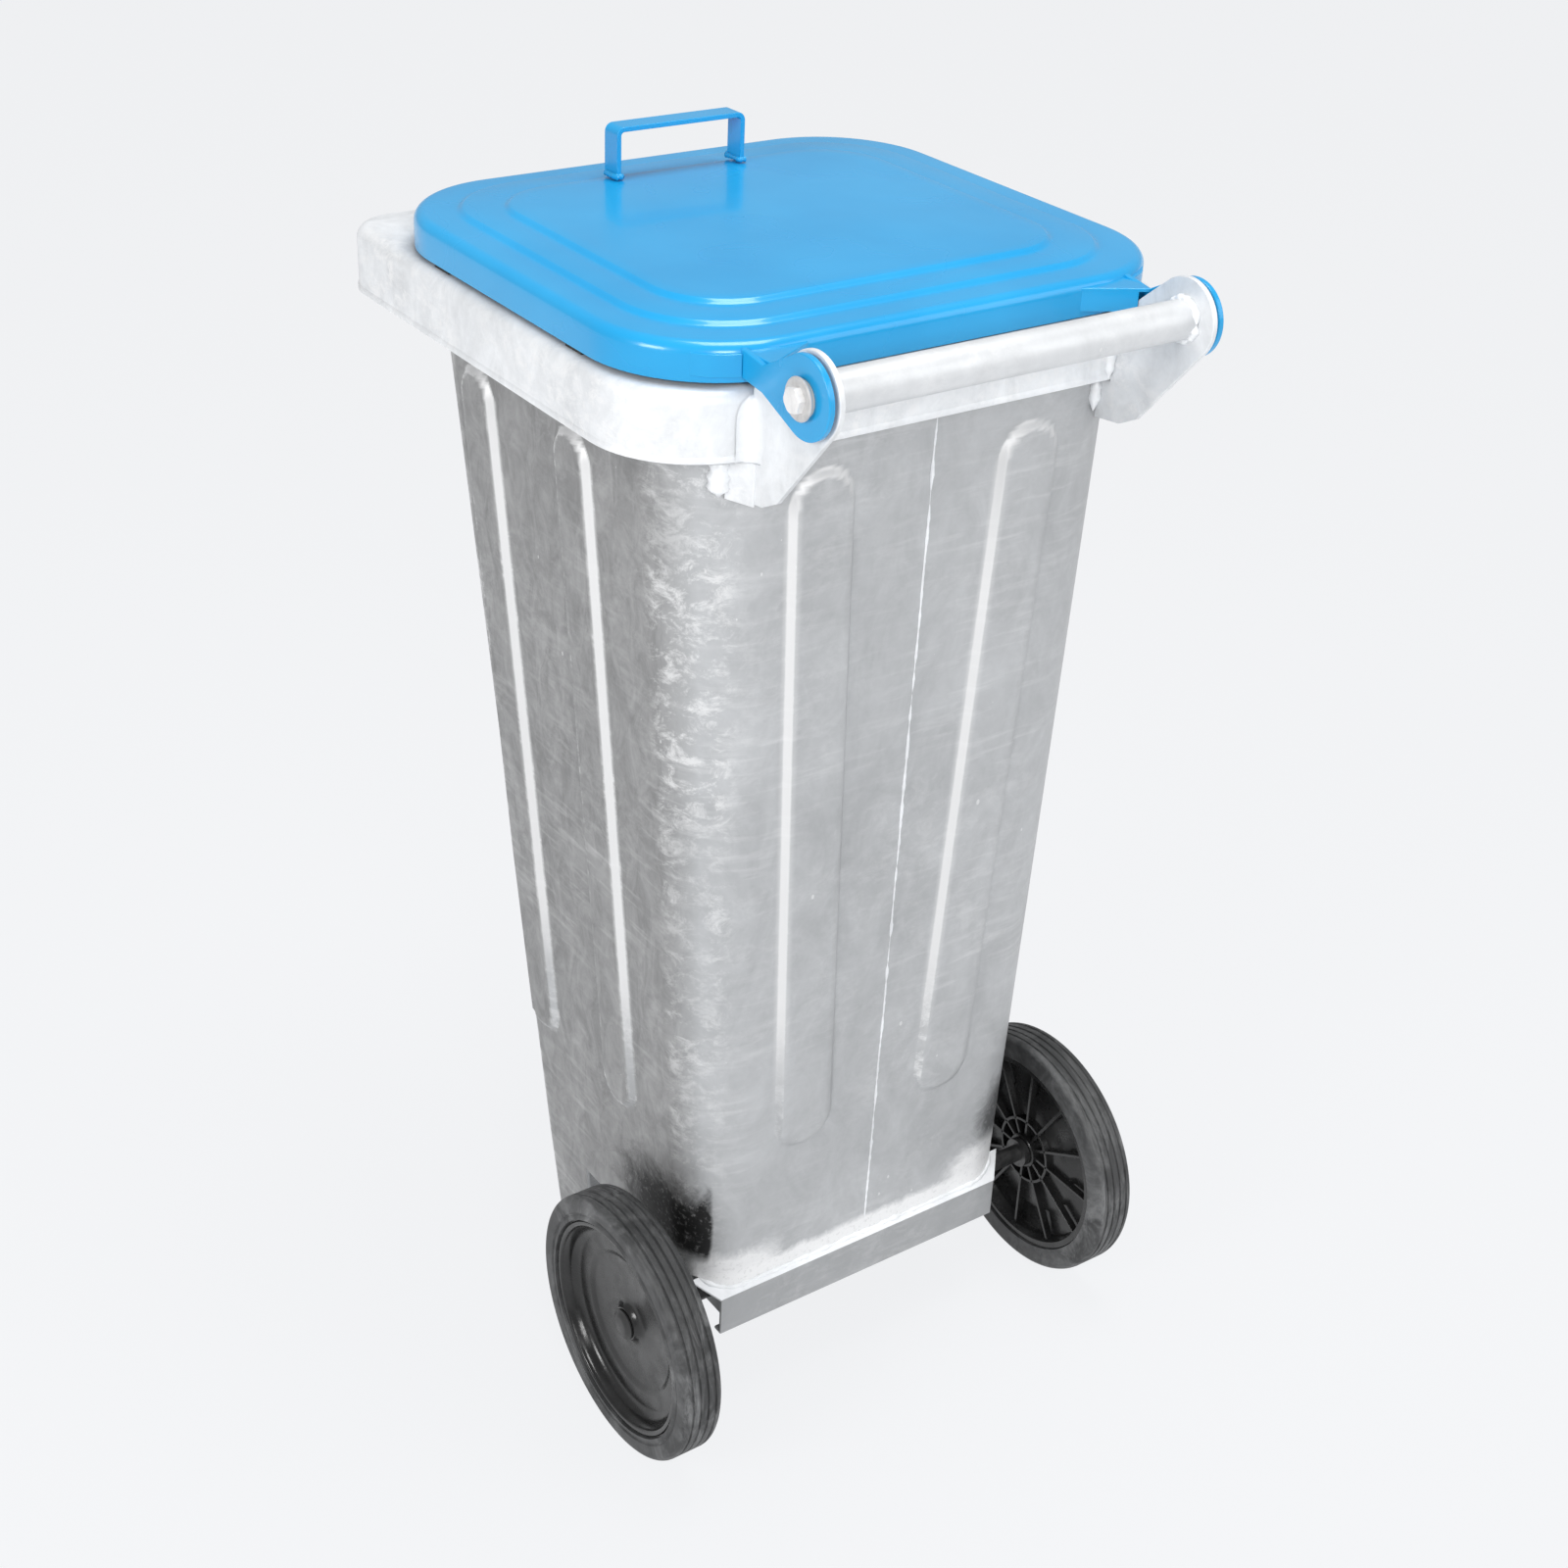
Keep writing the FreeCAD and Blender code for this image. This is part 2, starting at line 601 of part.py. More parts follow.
def make_pivot_bush(hand, side):
    """Make the flanged bush that is pressed into the ear of a lid arm."""
    body = new_body(f"pivot_bush_{hand}")
    outer = dim("arm_inner") + dim("arm_plate")
    parts = (("barrel", dim("arm_inner"), dim("arm_plate"), dim("bush_radius")),
             ("flange", outer, dim("bush_flange_plate"), dim("bush_flange")))
    for name, start, length, radius in parts:
        sketch = new_sketch(body, name, "YZ_Plane", (0, 0, start * side))
        add_circle(sketch, dim("hinge_back"), dim("hinge_height"), radius)
        add_circle(sketch, dim("hinge_back"), dim("hinge_height"), dim("bush_bore"))
        add_feature(body, "Pad", f"{name}_form", sketch, length, side < 0)
    return body


# ---------------------------------------------------------------- lid


def make_lid_pan():
    """Make the pressed lid: a skirt with a folded edge and two raised steps."""
    body = new_body("lid_pan")
    wall = dim("lid_wall")

    def outline(name, height, inset, corner):
        sketch = new_sketch(body, name, "XY_Plane", (0, 0, height))
        add_rounded_rectangle(sketch, dim("lid_half_width") - inset, dim("lid_front") - inset,
                              dim("lid_rear") - inset, corner, corner)
        return sketch

    level = dim("lid_bottom")
    levels = []
    for number in range(3):
        inset = dim("lid_step_inset") * number
        corner = dim("lid_corner") - dim("lid_step_corner") * number
        height = dim("lid_skirt") if number == 0 else dim("lid_step")
        levels.append((level, height, inset, corner))
        level = level + height
    for number, (start, height, inset, corner) in enumerate(levels):
        sketch = outline(f"level_{number}", start, inset, corner)
        pad = add_feature(body, "Pad", f"level_{number}_form", sketch, height)
        fold = dim("lid_fold") if number == 0 else dim("lid_step_fold")
        fillet_level(body, f"level_{number}_fold", pad, start + height, fold)
    fold = dim("lid_fold")
    straight = dim("lid_skirt") - fold
    hollows = [(dim("lid_bottom"), straight, wall, dim("lid_corner") - wall),
               (dim("lid_bottom") + straight, fold - wall, fold, dim("lid_corner") - fold)]
    for start, height, inset, corner in levels[1:]:
        hollows.append((start - wall, height, inset + wall, corner - wall))
    for number, (start, height, inset, corner) in enumerate(hollows):
        sketch = outline(f"hollow_{number}", start, inset, corner)
        add_feature(body, "Pocket", f"hollow_{number}_form", sketch, height, True)
    return body


def make_lid_arm(hand, side):
    """Make the arm: an ear on the hinge line, a strap to the lid, a gusset and its brace."""
    body = new_body(f"lid_arm_{hand}")
    ear = new_sketch(body, "ear", "YZ_Plane", (0, 0, dim("arm_inner") * side))
    add_circle(ear, dim("hinge_back"), dim("hinge_height"), dim("ear_radius"))
    add_feature(body, "Pad", "ear_form", ear, dim("arm_plate"), side < 0)
    strap = new_sketch(body, "strap", "YZ_Plane", (0, 0, dim("arm_inner") * side))
    waist = dim("hinge_back") - dim("strap_waist")
    rise = dim("strap_rise")
    add_outline(strap, [(dim("arm_front"), dim("arm_low")), (dim("arm_neck"), dim("neck_low")),
                        (waist, dim("hinge_height") - rise), (waist, dim("hinge_height") + rise),
                        (dim("arm_neck"), dim("neck_high")), (dim("arm_front"), dim("arm_high"))])
    add_feature(body, "Pad", "strap_form", strap, dim("arm_plate"), side < 0)
    gusset = new_sketch(body, "gusset", "XY_Plane", (0, 0, dim("gusset_high")))
    edge = (dim("arm_inner") + dim("arm_plate")) * side
    tip = (dim("arm_inner") - dim("gusset_run")) * side
    back = dim("arm_front")
    add_outline(gusset, [(tip, back), (edge, back), (edge, back + dim("gusset_reach")),
                         (dim("arm_inner") * side, back + dim("gusset_reach"))])
    add_feature(body, "Pad", "gusset_form", gusset, dim("gusset_plate"), True)
    # the brace closes the corner between skirt and gusset, clear of the bracket outside it
    brace = new_sketch(body, "brace", "XY_Plane", (0, 0, dim("gusset_high")))
    outer = dim("brace_outer") * side
    run = dim("brace_outer") - dim("arm_inner") + dim("gusset_run")
    reach = dim("gusset_reach") * run / dim("gusset_run")
    add_outline(brace, [(tip, back), (outer, back), (outer, back + reach)])
    add_feature(body, "Pad", "brace_form", brace, dim("gusset_high") - dim("brace_low"), True)
    hole = new_sketch(body, "hole", "YZ_Plane", (0, 0, dim("arm_inner") * side))
    add_circle(hole, dim("hinge_back"), dim("hinge_height"), dim("ear_hole"))
    add_feature(body, "Pocket", "hole_form", hole, dim("arm_plate"), side > 0)
    return body


def make_lid_handle():
    """Make the handle: a flat bar bent to a U and welded on the lid."""
    body = new_body("lid_handle")
    foot = dim("lid_bottom") + dim("lid_skirt") + dim("lid_step") * 2
    half, bar, top = dim("grip_half_span"), dim("grip_bar"), dim("grip_height")
    sketch = new_sketch(body, "bar", "XZ_Plane",
                        (0, 0, dim("grip_forward") - dim("grip_depth") / 2))
    add_outline(sketch, [(-half, foot), (-half, top), (half, top), (half, foot),
                         (half - bar, foot), (half - bar, top - bar),
                         (bar - half, top - bar), (bar - half, foot)])
    pad = add_feature(body, "Pad", "bar_form", sketch, dim("grip_depth"))
    doc.recompute()
    bends = {"outer": (half.value, top.value, dim("grip_bend")),
             "inner": (half.value - bar.value, top.value - bar.value, dim("grip_bend") - bar)}
    for name, (x, z, radius) in bends.items():
        edges = []
        for number, edge in enumerate(pad.Shape.Edges, start=1):
            zone = edge.BoundBox
            if abs(abs(zone.Center.x) - x) < 0.01 and abs(zone.Center.z - z) < 0.01:
                if zone.XLength < 0.01:
                    edges.append(f"Edge{number}")
        pad_fillet = body.newObject("PartDesign::Fillet", f"{name}_bends")
        pad_fillet.Base = (pad, edges)
        pad_fillet.Radius = radius.value
        bind(pad_fillet, "Radius", radius)
        doc.recompute()
        pad = pad_fillet
    return body


def make_lid_buffers():
    """Make the rubber blocks inside the skirt, which the closed lid rests on."""
    buffers = []
    low = dim("rim_top") + dim("buffer_air")
    for hand, side in SIDES.items():
        edge = (dim("lid_half_width") - dim("lid_wall")) * side
        start = edge - dim("buffer_width") if side > 0 else edge
        for place, centre in (("front", -dim("buffer_front")), ("rear", dim("buffer_rear"))):
            buffers.append(box(f"buffer_{hand}_{place}", start,
                               centre - dim("buffer_length") / 2, low, dim("buffer_width"),
                               dim("buffer_length"), dim("buffer_height")))
    return group("lid_buffers", buffers)


# ---------------------------------------------------------------- axle and wheels


def make_axle_channel():
    body = new_body("axle_channel")
    rear, front, thick = dim("channel_rear"), dim("channel_front"), dim("channel_sheet")
    low, fold, deck = dim("channel_low"), dim("channel_fold"), dim("channel_deck")
    back = dim("channel_deck_back")
    sketch = new_sketch(body, "profile", "YZ_Plane", (0, 0, -dim("channel_half")))
    add_outline(sketch, [
        (rear, low), (rear, fold), (back, deck), (front, deck), (front, dim("channel_apron")),
        (front + thick, dim("channel_apron")), (front + thick, deck - thick),
        (back - dim("channel_bend"), deck - thick), (rear - thick, fold - thick / 2),
        (rear - thick, low + thick), (rear - dim("channel_lip"), low + thick),
        (rear - dim("channel_lip"), low)])
    add_feature(body, "Pad", "profile_form", sketch, dim("channel_half") * 2)
    run, rise = (rear - back).value, (deck - fold).value
    slope = math.degrees(math.atan2(rise, run))
    ledge = new_sketch(body, "ledge", "XY_Plane", (0, rear, fold), -slope)
    length = (rear - back) / math.cos(math.radians(slope))
    add_outline(ledge, [(-dim("channel_half"), 0), (dim("channel_half"), 0),
                        (dim("ledge_half"), -length), (-dim("ledge_half"), -length)])
    add_feature(body, "Pad", "ledge_form", ledge, dim("ledge_sheet"), True)
    return body


def make_axle_saddles():
    """Make the two plates inside the channel that the axle passes through."""
    gap = dim("saddle_gap")
    start = dim("channel_front") + dim("channel_sheet") + gap
    end = dim("channel_rear") - dim("channel_sheet") - gap
    high = dim("channel_fold") - dim("channel_sheet") / 2 - dim("saddle_air")
    top = dim("channel_deck") - dim("channel_sheet") - dim("saddle_air")
    shoulder = dim("channel_deck_back") - dim("channel_bend") * 2
    saddles = []
    for hand, side in SIDES.items():
        def draw(sketch):
            add_outline(sketch, [(start, dim("saddle_low")), (end, dim("saddle_low")),
                                 (end, high), (shoulder, top), (start, top)])
            add_circle(sketch, dim("axle_back"), dim("axle_height"), dim("saddle_hole"))

        saddles.append(plate(f"saddle_{hand}", "YZ_Plane", draw,
                             (0, 0, dim("saddle_place") * side), dim("saddle_plate"), side < 0))
    return group("axle_saddles", saddles)


def make_axle():
    def draw(sketch):
        add_circle(sketch, dim("axle_back"), dim("axle_height"), dim("axle_radius"))

    half = dim("axle_half_length")
    return plate("axle", "YZ_Plane", draw, (0, 0, -half), half * 2)


def axis_sketch(body, name):
    """Attach a sketch whose x axis is the axle line."""
    return new_sketch(body, name, "XY_Plane", (0, dim("axle_back"), dim("axle_height")))


def make_wheel_disc(hand, side):
    """Make the plastic wheel: hub, dished disc with a step, felloe and inner ribs."""
    body = new_body(f"wheel_disc_{hand}")
    inset, plate_thick, step = dim("felloe_inset"), dim("disc_plate"), dim("disc_step")
    inner, outer = dim("wheel_inner") + inset, dim("wheel_outer") - inset
    face, hub = dim("disc_face"), dim("hub_radius")
    seat, felloe, ledge = dim("tyre_seat"), dim("felloe_radius"), dim("disc_step_radius")
    slope, draft, root = dim("disc_slope"), dim("felloe_draft"), dim("rib_root")
    profile = [(dim("hub_inner"), dim("hub_bore")), (dim("hub_outer"), dim("hub_bore")),
               (dim("hub_outer"), hub), (face - step, hub + slope), (face - step, ledge - slope),
               (face, ledge), (face, felloe - draft), (outer, felloe), (outer, seat),
               (inner, seat), (inner, felloe), (face - plate_thick, felloe - draft),
               (face - plate_thick, ledge), (face - step - plate_thick, ledge - slope),
               (face - step - plate_thick, hub), (dim("hub_inner"), hub)]
    sketch = axis_sketch(body, "profile")
    add_outline(sketch, [(x * side, y) for x, y in profile])
    add_revolution(body, "profile_form", sketch)
    ring_rib = axis_sketch(body, "ring_rib")
    start = inner + dim("spoke_inset")
    radius, thick = dim("ring_rib_radius"), dim("spoke_rib")
    end = face - step - plate_thick + root
    add_outline(ring_rib, [(start * side, radius), (end * side, radius),
                           (end * side, radius + thick), (start * side, radius + thick)])
    add_revolution(body, "ring_rib_form", ring_rib)
    spoke = axis_sketch(body, "spoke")
    add_outline(spoke, [(start * side, hub - root), (end * side, hub - root),
                        (end * side, felloe + root), (start * side, felloe + root)])
    pad = body.newObject("PartDesign::Pad", "spoke_form")
    pad.Profile = spoke
    pad.Length = thick.value
    bind(pad, "Length", thick)
    pattern = body.newObject("PartDesign::PolarPattern", "spokes")
    pattern.Originals = [pad]
    pattern.Axis = (sketch, ["H_Axis"])
    pattern.Angle = 360.0
    pattern.Occurrences = SPOKES
    body.Tip = pattern
    return body


def make_tyre(hand, side):
    """Make the solid tyre with round shoulders and grooves round the tread."""
    body = new_body(f"tyre_{hand}")
    inner, outer = dim("wheel_inner"), dim("wheel_outer")
    tread, seat, shoulder = dim("wheel_radius"), dim("tyre_seat"), dim("tyre_shoulder")
    cut, half_width = dim("tread_groove"), dim("tread_groove_width") / 2
    soft = dim("tyre_soft")
    points = [(inner, seat), (outer, seat), (outer, tread - shoulder),
              (outer - soft, tread - soft), (outer - shoulder, tread)]
    pitch = (outer - inner) / (TREAD_GROOVES + 1)
    for number in range(TREAD_GROOVES, 0, -1):
        centre = inner + pitch * number
        points += [(centre + half_width, tread), (centre, tread - cut),
                   (centre - half_width, tread)]
    points += [(inner + shoulder, tread), (inner + soft, tread - soft),
               (inner, tread - shoulder)]
    sketch = axis_sketch(body, "profile")
    add_outline(sketch, [(x * side, y) for x, y in points])
    add_revolution(body, "profile_form", sketch)
    return body


def make_hub_sleeve(hand, side):
    return ring(f"hub_sleeve_{hand}", side, dim("hub_inner"), dim("hub_outer") - dim("hub_inner"),
                dim("sleeve_radius"), dim("sleeve_bore"), dim("axle_back"), dim("axle_height"))


def make_axle_collar(hand, side):
    start = dim("hub_inner") - dim("collar_air") - dim("collar_width")
    return ring(f"axle_collar_{hand}", side, start, dim("collar_width"), dim("collar_radius"),
                dim("axle_radius") + dim("axle_clear"), dim("axle_back"), dim("axle_height"))


def make_axle_cap(hand, side):
    body = new_body(f"axle_cap_{hand}")
    start = dim("hub_outer") + dim("cap_air")
    cap = new_sketch(body, "cap", "YZ_Plane", (0, 0, start * side))
    add_circle(cap, dim("axle_back"), dim("axle_height"), dim("cap_radius"))
    add_feature(body, "Pad", "cap_form", cap, dim("cap_depth"), side < 0)
    bore = new_sketch(body, "bore", "YZ_Plane", (0, 0, start * side))
    add_circle(bore, dim("axle_back"), dim("axle_height"), dim("axle_radius") + dim("axle_clear"))
    depth = dim("axle_half_length") - start + dim("cap_spare")
    add_feature(body, "Pocket", "bore_form", bore, depth, side > 0)
    return body


# ---------------------------------------------------------------- assembly


SINGLE = [make_body_shell, make_base_pan, make_front_foot, make_rim_frame, make_comb_ribs,
          make_handle_tube, make_axle_channel, make_axle_saddles, make_axle, make_lid_pan,
          make_lid_handle, make_lid_buffers]
PAIRED = [make_hinge_bracket, make_tube_plug, make_pivot_bolt, make_pivot_washer,
          make_thrust_washer, make_pivot_bush, make_lid_arm, make_wheel_disc, make_tyre,
          make_hub_sleeve, make_axle_collar, make_axle_cap]

nodes = [make() for make in SINGLE]
for make in PAIRED:
    for hand, side in SIDES.items():
        nodes.append(make(hand, side))
doc.recompute()

for item in doc.Objects:
    if "Invalid" in item.State or "Error" in item.State:
        raise RuntimeError(f"{item.Label} did not compute: {item.State}")
os.makedirs("parts", exist_ok=True)
for node in nodes:
    shape = node.Shape
    if shape.isNull() or not shape.isValid() or shape.Volume <= 0:
        raise RuntimeError(f"{node.Label} has no valid solid")
    shape.exportStep(f"parts/{node.Label}.step")
    print(f"{node.Label}: {len(shape.Solids)} solid, {shape.Volume / 1000:.1f} cm3")
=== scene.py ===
"""Looks of the wheeled galvanised refuse bin: finishes, detailed pieces, light and camera.

Lengths are in metres in the bin's own frame: +Z is up, -Y is the front, +Y is the rear
with the hinge and the wheels, and +X is the left side of a person behind the bin.
"""
import logging
import math
from dataclasses import dataclass, field
from enum import Enum
from functools import cache
from typing import Iterable, Optional, Sequence

import bmesh
import bpy
from mathutils import Matrix, Vector, noise


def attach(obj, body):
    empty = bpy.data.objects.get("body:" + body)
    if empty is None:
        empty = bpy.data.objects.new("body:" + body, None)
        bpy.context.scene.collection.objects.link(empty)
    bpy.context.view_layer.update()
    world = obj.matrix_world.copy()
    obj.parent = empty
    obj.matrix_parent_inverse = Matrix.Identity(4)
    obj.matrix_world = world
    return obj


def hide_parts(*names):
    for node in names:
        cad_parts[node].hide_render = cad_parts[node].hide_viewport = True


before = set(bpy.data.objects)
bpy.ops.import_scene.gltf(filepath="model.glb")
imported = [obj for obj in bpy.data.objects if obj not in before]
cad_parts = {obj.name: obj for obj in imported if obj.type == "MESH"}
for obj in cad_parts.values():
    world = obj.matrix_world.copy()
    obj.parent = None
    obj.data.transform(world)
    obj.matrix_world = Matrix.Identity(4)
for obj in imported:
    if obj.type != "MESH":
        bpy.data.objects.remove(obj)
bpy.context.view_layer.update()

log = logging.getLogger("refuse_bin")

Pair = tuple[float, float]
Point = tuple[float, float, float]
Fade = tuple[float, float, float, float]
Colour = tuple[float, float, float, float]

PAINTED_HIGHLIGHT = "painted_highlight"
HINGE = Vector((0.0, 0.260, 0.995))
AXLE = Vector((0.0, 0.142, 0.120))
QUARTER = math.pi / 2
BEVEL_ANGLE = math.radians(28.0)


class Side(Enum):
    """The two sides of the bin, by the sign of x."""

    LEFT = 1
    RIGHT = -1

    @property
    def word(self) -> str:
        """Name of the side as it stands in the node names."""
        return self.name.lower()


class Rider(Enum):
    """The bodies that pieces ride on."""

    BIN = "bin"
    LID = "lid"
    WHEEL_LEFT = "wheel_left"
    WHEEL_RIGHT = "wheel_right"


def smooth_step(share: float) -> float:
    """Ease a share between 0 and 1 with level ends.

    Args:
        share: any number; it is held between 0 and 1.

    Returns:
        The eased share.
    """
    share = min(1.0, max(0.0, share))
    return share * share * (3.0 - 2.0 * share)


def mix(low: float, high: float, share: float) -> float:
    """Give the value at a share of the way from low to high."""
    return low + (high - low) * share


def arc(centre: Pair, radius: float, start: float, end: float, steps: int) -> list[Pair]:
    """Give the points of an arc in a plane.

    Args:
        centre: the arc's centre.
        radius: the arc's radius.
        start: angle of the first point, in radians from the first axis.
        end: angle of the last point.
        steps: number of steps between the two.

    Returns:
        The points, both ends included.
    """
    angles = [mix(start, end, step / steps) for step in range(steps + 1)]
    return [(centre[0] + radius * math.cos(angle), centre[1] + radius * math.sin(angle))
            for angle in angles]


# ---------------------------------------------------------------- shader nodes


NOISE_BAND = (0.3, 0.7)
FRAY = 0.9
FRAYED_BAND = (0.70, 1.15)
FRAY_REACH = 0.3


@dataclass(frozen=True)
class Clouds:
    """Settings of one cloudy noise.

    Attributes:
        scale: clouds per metre.
        detail: number of finer layers.
        roughness: strength of the finer layers.
        swirl: how far the clouds are drawn out into swirls.
        stretch: scale along the piece's own axes, or None to leave them as they are.
        turn: turn of the stretched axes, in radians.
    """

    scale: float
    detail: float = 4.0
    roughness: float = 0.55
    swirl: float = 0.0
    stretch: Optional[Point] = None
    turn: Point = (0.0, 0.0, 0.0)
class Graph:
    """Node tree of one material, with short calls for the nodes that the finishes share."""

    def __init__(self, name: str) -> None:
        """Start a material with one surface shader.

        Args:
            name: name of the material.
        """
        self.material = bpy.data.materials.new(name)
        self.material.use_nodes = True
        self.tree = self.material.node_tree
        self.surface = self.tree.nodes["Principled BSDF"]
        place = self.tree.nodes.new("ShaderNodeTexCoord")
        self.place = place.outputs["Object"]
        self.facing = place.outputs["Normal"]

    def node(self, kind: str, settings: Optional[dict] = None, **inputs: object) -> bpy.types.Node:
        """Add a node.

        Args:
            kind: the node type's name without its ShaderNode prefix.
            settings: properties to set on the node.
            inputs: values or sockets by input name, with _ for a space.

        Returns:
            The new node.
        """
        made = self.tree.nodes.new("ShaderNode" + kind)
        for key, value in (settings or {}).items():
            setattr(made, key, value)
        for key, value in inputs.items():
            self.feed(made.inputs[key.replace("_", " ")], value)
        return made

    def feed(self, socket: bpy.types.NodeSocket, value: object) -> None:
        """Link a socket into an input, or set the input's own value."""
        if isinstance(value, bpy.types.NodeSocket):
            self.tree.links.new(value, socket)
        else:
            socket.default_value = value

    def stretched(self, scale: Point, turn: Point = (0.0, 0.0, 0.0)) -> bpy.types.NodeSocket:
        """Give the piece's own coordinates, stretched and turned."""
        made = self.node("Mapping", Vector=self.place, Scale=scale, Rotation=turn)
        return made.outputs["Vector"]

    def noise(self, clouds: Clouds) -> bpy.types.NodeSocket:
        """Add a cloudy noise and give its value."""
        place = self.stretched(clouds.stretch, clouds.turn) if clouds.stretch else self.place
        made = self.node("TexNoise", Vector=place, Scale=clouds.scale, Detail=clouds.detail,
                         Roughness=clouds.roughness, Distortion=clouds.swirl)
        return made.outputs["Fac"]

    def banded(self, clouds: Clouds, band: Pair) -> bpy.types.NodeSocket:
        """Add a cloudy noise that rises from 0 to 1 within a band of its values."""
        return self.spread(self.noise(clouds), *band)

    def spread(self, value: bpy.types.NodeSocket, low: float, high: float,
               to_low: float = 0.0, to_high: float = 1.0) -> bpy.types.NodeSocket:
        """Map a value's range to another one, held at the ends."""
        made = self.node("MapRange", Value=value)
        made.inputs["From Min"].default_value = low
        made.inputs["From Max"].default_value = high
        made.inputs["To Min"].default_value = to_low
        made.inputs["To Max"].default_value = to_high
        return made.outputs["Result"]

    def join(self, operation: str, first: object, second: object) -> bpy.types.NodeSocket:
        """Join two numbers with a Math operation."""
        made = self.node("Math", {"operation": operation})
        self.feed(made.inputs[0], first)
        self.feed(made.inputs[1], second)
        return made.outputs["Value"]

    def times(self, first: object, second: object) -> bpy.types.NodeSocket:
        """Multiply two numbers."""
        return self.join("MULTIPLY", first, second)

    def blend(self, share: object, first: object, second: object) -> bpy.types.NodeSocket:
        """Mix two colours by a share."""
        made = self.node("Mix", {"data_type": "RGBA", "clamp_factor": True})
        self.feed(made.inputs[0], share)
        self.feed(made.inputs[6], first)
        self.feed(made.inputs[7], second)
        return made.outputs[2]

    def ramp(self, value: bpy.types.NodeSocket,
             stops: Sequence[tuple[float, Colour]]) -> bpy.types.NodeSocket:
        """Turn a value into a colour.

        Args:
            value: the value to look up.
            stops: positions and colours, from low to high.

        Returns:
            The colour socket.
        """
        made = self.node("ValToRGB", Fac=value)
        elements = made.color_ramp.elements
        while len(elements) < len(stops):
            elements.new(0.5)
        for element, (position, colour) in zip(elements, stops):
            element.position = position
            element.color = colour
        return made.outputs["Color"]

    def axes(self, vector: bpy.types.NodeSocket) -> tuple[bpy.types.NodeSocket, ...]:
        """Split a vector into its x, y and z."""
        made = self.node("SeparateXYZ", Vector=vector)
        return tuple(made.outputs[axis] for axis in "XYZ")

    def zone(self, bounds: Sequence[Optional[Fade]], ragged: object) -> bpy.types.NodeSocket:
        """Give 1 inside a box and 0 outside it, with its own fade at each wall.

        Args:
            bounds: for x, y and z the places where the value starts, is full, starts to
                fade and has faded, or None where the axis doesn't count.
            ragged: value between 0 and 1 that frays the fades.

        Returns:
            The value socket.
        """
        share: object = 1.0
        for place, limits in zip(self.axes(self.place), bounds):
            if limits is None:
                continue
            start, full, fading, faded = limits
            share = self.times(share, self.spread(place, start, full))
            share = self.times(share, self.spread(place, fading, faded, 1.0, 0.0))
        frayed = self.join("ADD", share, self.times(ragged, FRAY))
        return self.times(self.spread(frayed, *FRAYED_BAND), self.spread(share, 0.0, FRAY_REACH))

    def bump(self, height: bpy.types.NodeSocket, distance: float, strength: float = 1.0) -> None:
        """Raise the surface by a height map, in metres."""
        made = self.node("Bump", Height=height, Distance=distance, Strength=strength)
        self.feed(self.surface.inputs["Normal"], made.outputs["Normal"])

    def paint(self, name: str, value: object) -> None:
        """Set or feed one input of the surface shader."""
        self.feed(self.surface.inputs[name], value)

    def roughen(self, value: bpy.types.NodeSocket, middle: float, less: float,
                more: float) -> None:
        """Let a noise move the roughness between a little less and a little more."""
        self.paint("Roughness", self.spread(value, *NOISE_BAND, middle - less, middle + more))


def grey(level: float, warmth: float = 0.0) -> Colour:
    """Give a grey of a linear level, a little warmer or cooler."""
    return (level * (1.0 + warmth), level, level * (1.0 - warmth), 1.0)


def upward(start: float, full: float) -> Fade:
    """Give the fade of a patch that starts along an axis and has no end there."""
    return (start, full, 1.0, 1.1)


def downward(fading: float, faded: float) -> Fade:
    """Give the fade of a patch that ends along an axis and has no start there."""
    return (-1.1, -1.0, fading, faded)


@dataclass(frozen=True)
class GreyPatch:
    """A patch of another grey on the zinc, used for stains and for painted reflections: its box with
    fading walls, its grey and strength.
    """

    across: Optional[Fade]
    along: Optional[Fade]
    height: Optional[Fade]
    level: float
    strength: float


# Ground colour of the sheet, and the painted shade on its left-facing sides, with streaks in it.
SHEET_CLOUDS = (
    (Clouds(4.5, 3.0, 0.5, 0.4), 0.35),
    (Clouds(24.0, 5.0, 0.62, 1.1, (1.0, 1.0, 0.65)), 0.5),
    (Clouds(130.0, 3.0, 0.6, 0.6), 0.15),
)
SHEET_BAND = (0.36, 0.64)
SHEET_WARMTH = -0.02
SIDE_STREAKS = Clouds(30.0, 6.0, 0.7, 0.9, (1.5, 1.5, 0.8))
SIDE_BAND = (0.34, 0.66)
SIDE_FACING = (0.72, 0.99)
SIDE_SPAN = (0.74, 1.18)
# White scale: its feathers, where it lies, and how far its zone goes.
FEATHERS = Clouds(46.0, 7.0, 0.78, 0.45, (1.0, 1.0, 1.5), (0.55, 0.45, 0.0))
FEATHER_BAND = (0.48, 0.62)
SCALE_PATCHES = Clouds(9.0, 3.0, 0.6)
PATCH_BAND = (0.42, 0.62)
ZONE_FADES = (0.25, 0.025)
ZONE_LEFT = 0.15
ZONE_LIFT = (0.0, 0.6, 0.45, 1.0)
OUTSIDE_ZONE = 0.22
SCALE_GREY = grey(0.86)
# Scratches, and drops of thicker zinc.
SCRATCH_LINES = Clouds(1.0, 4.0, 0.6, 0.2, (16.0, 16.0, 130.0), (0.0, 0.5, 0.0))
LINE_BAND = (0.52, 0.72)
SCRATCHED_PARTS = Clouds(5.0, 2.0)
SCRATCHED_BAND = (0.42, 0.6)
SCRATCH_GREY = grey(0.85)
DROP_STRETCH = (1.0, 1.0, 0.6)
DROPS_PER_METRE = 48.0
DROP_CLOUDS = Clouds(9.0, 2.0)
DROP_SIZES = (0.5, 0.75, 0.02, 0.12)
DROP_SHARE = 0.5
DROP_GREY = grey(0.80)
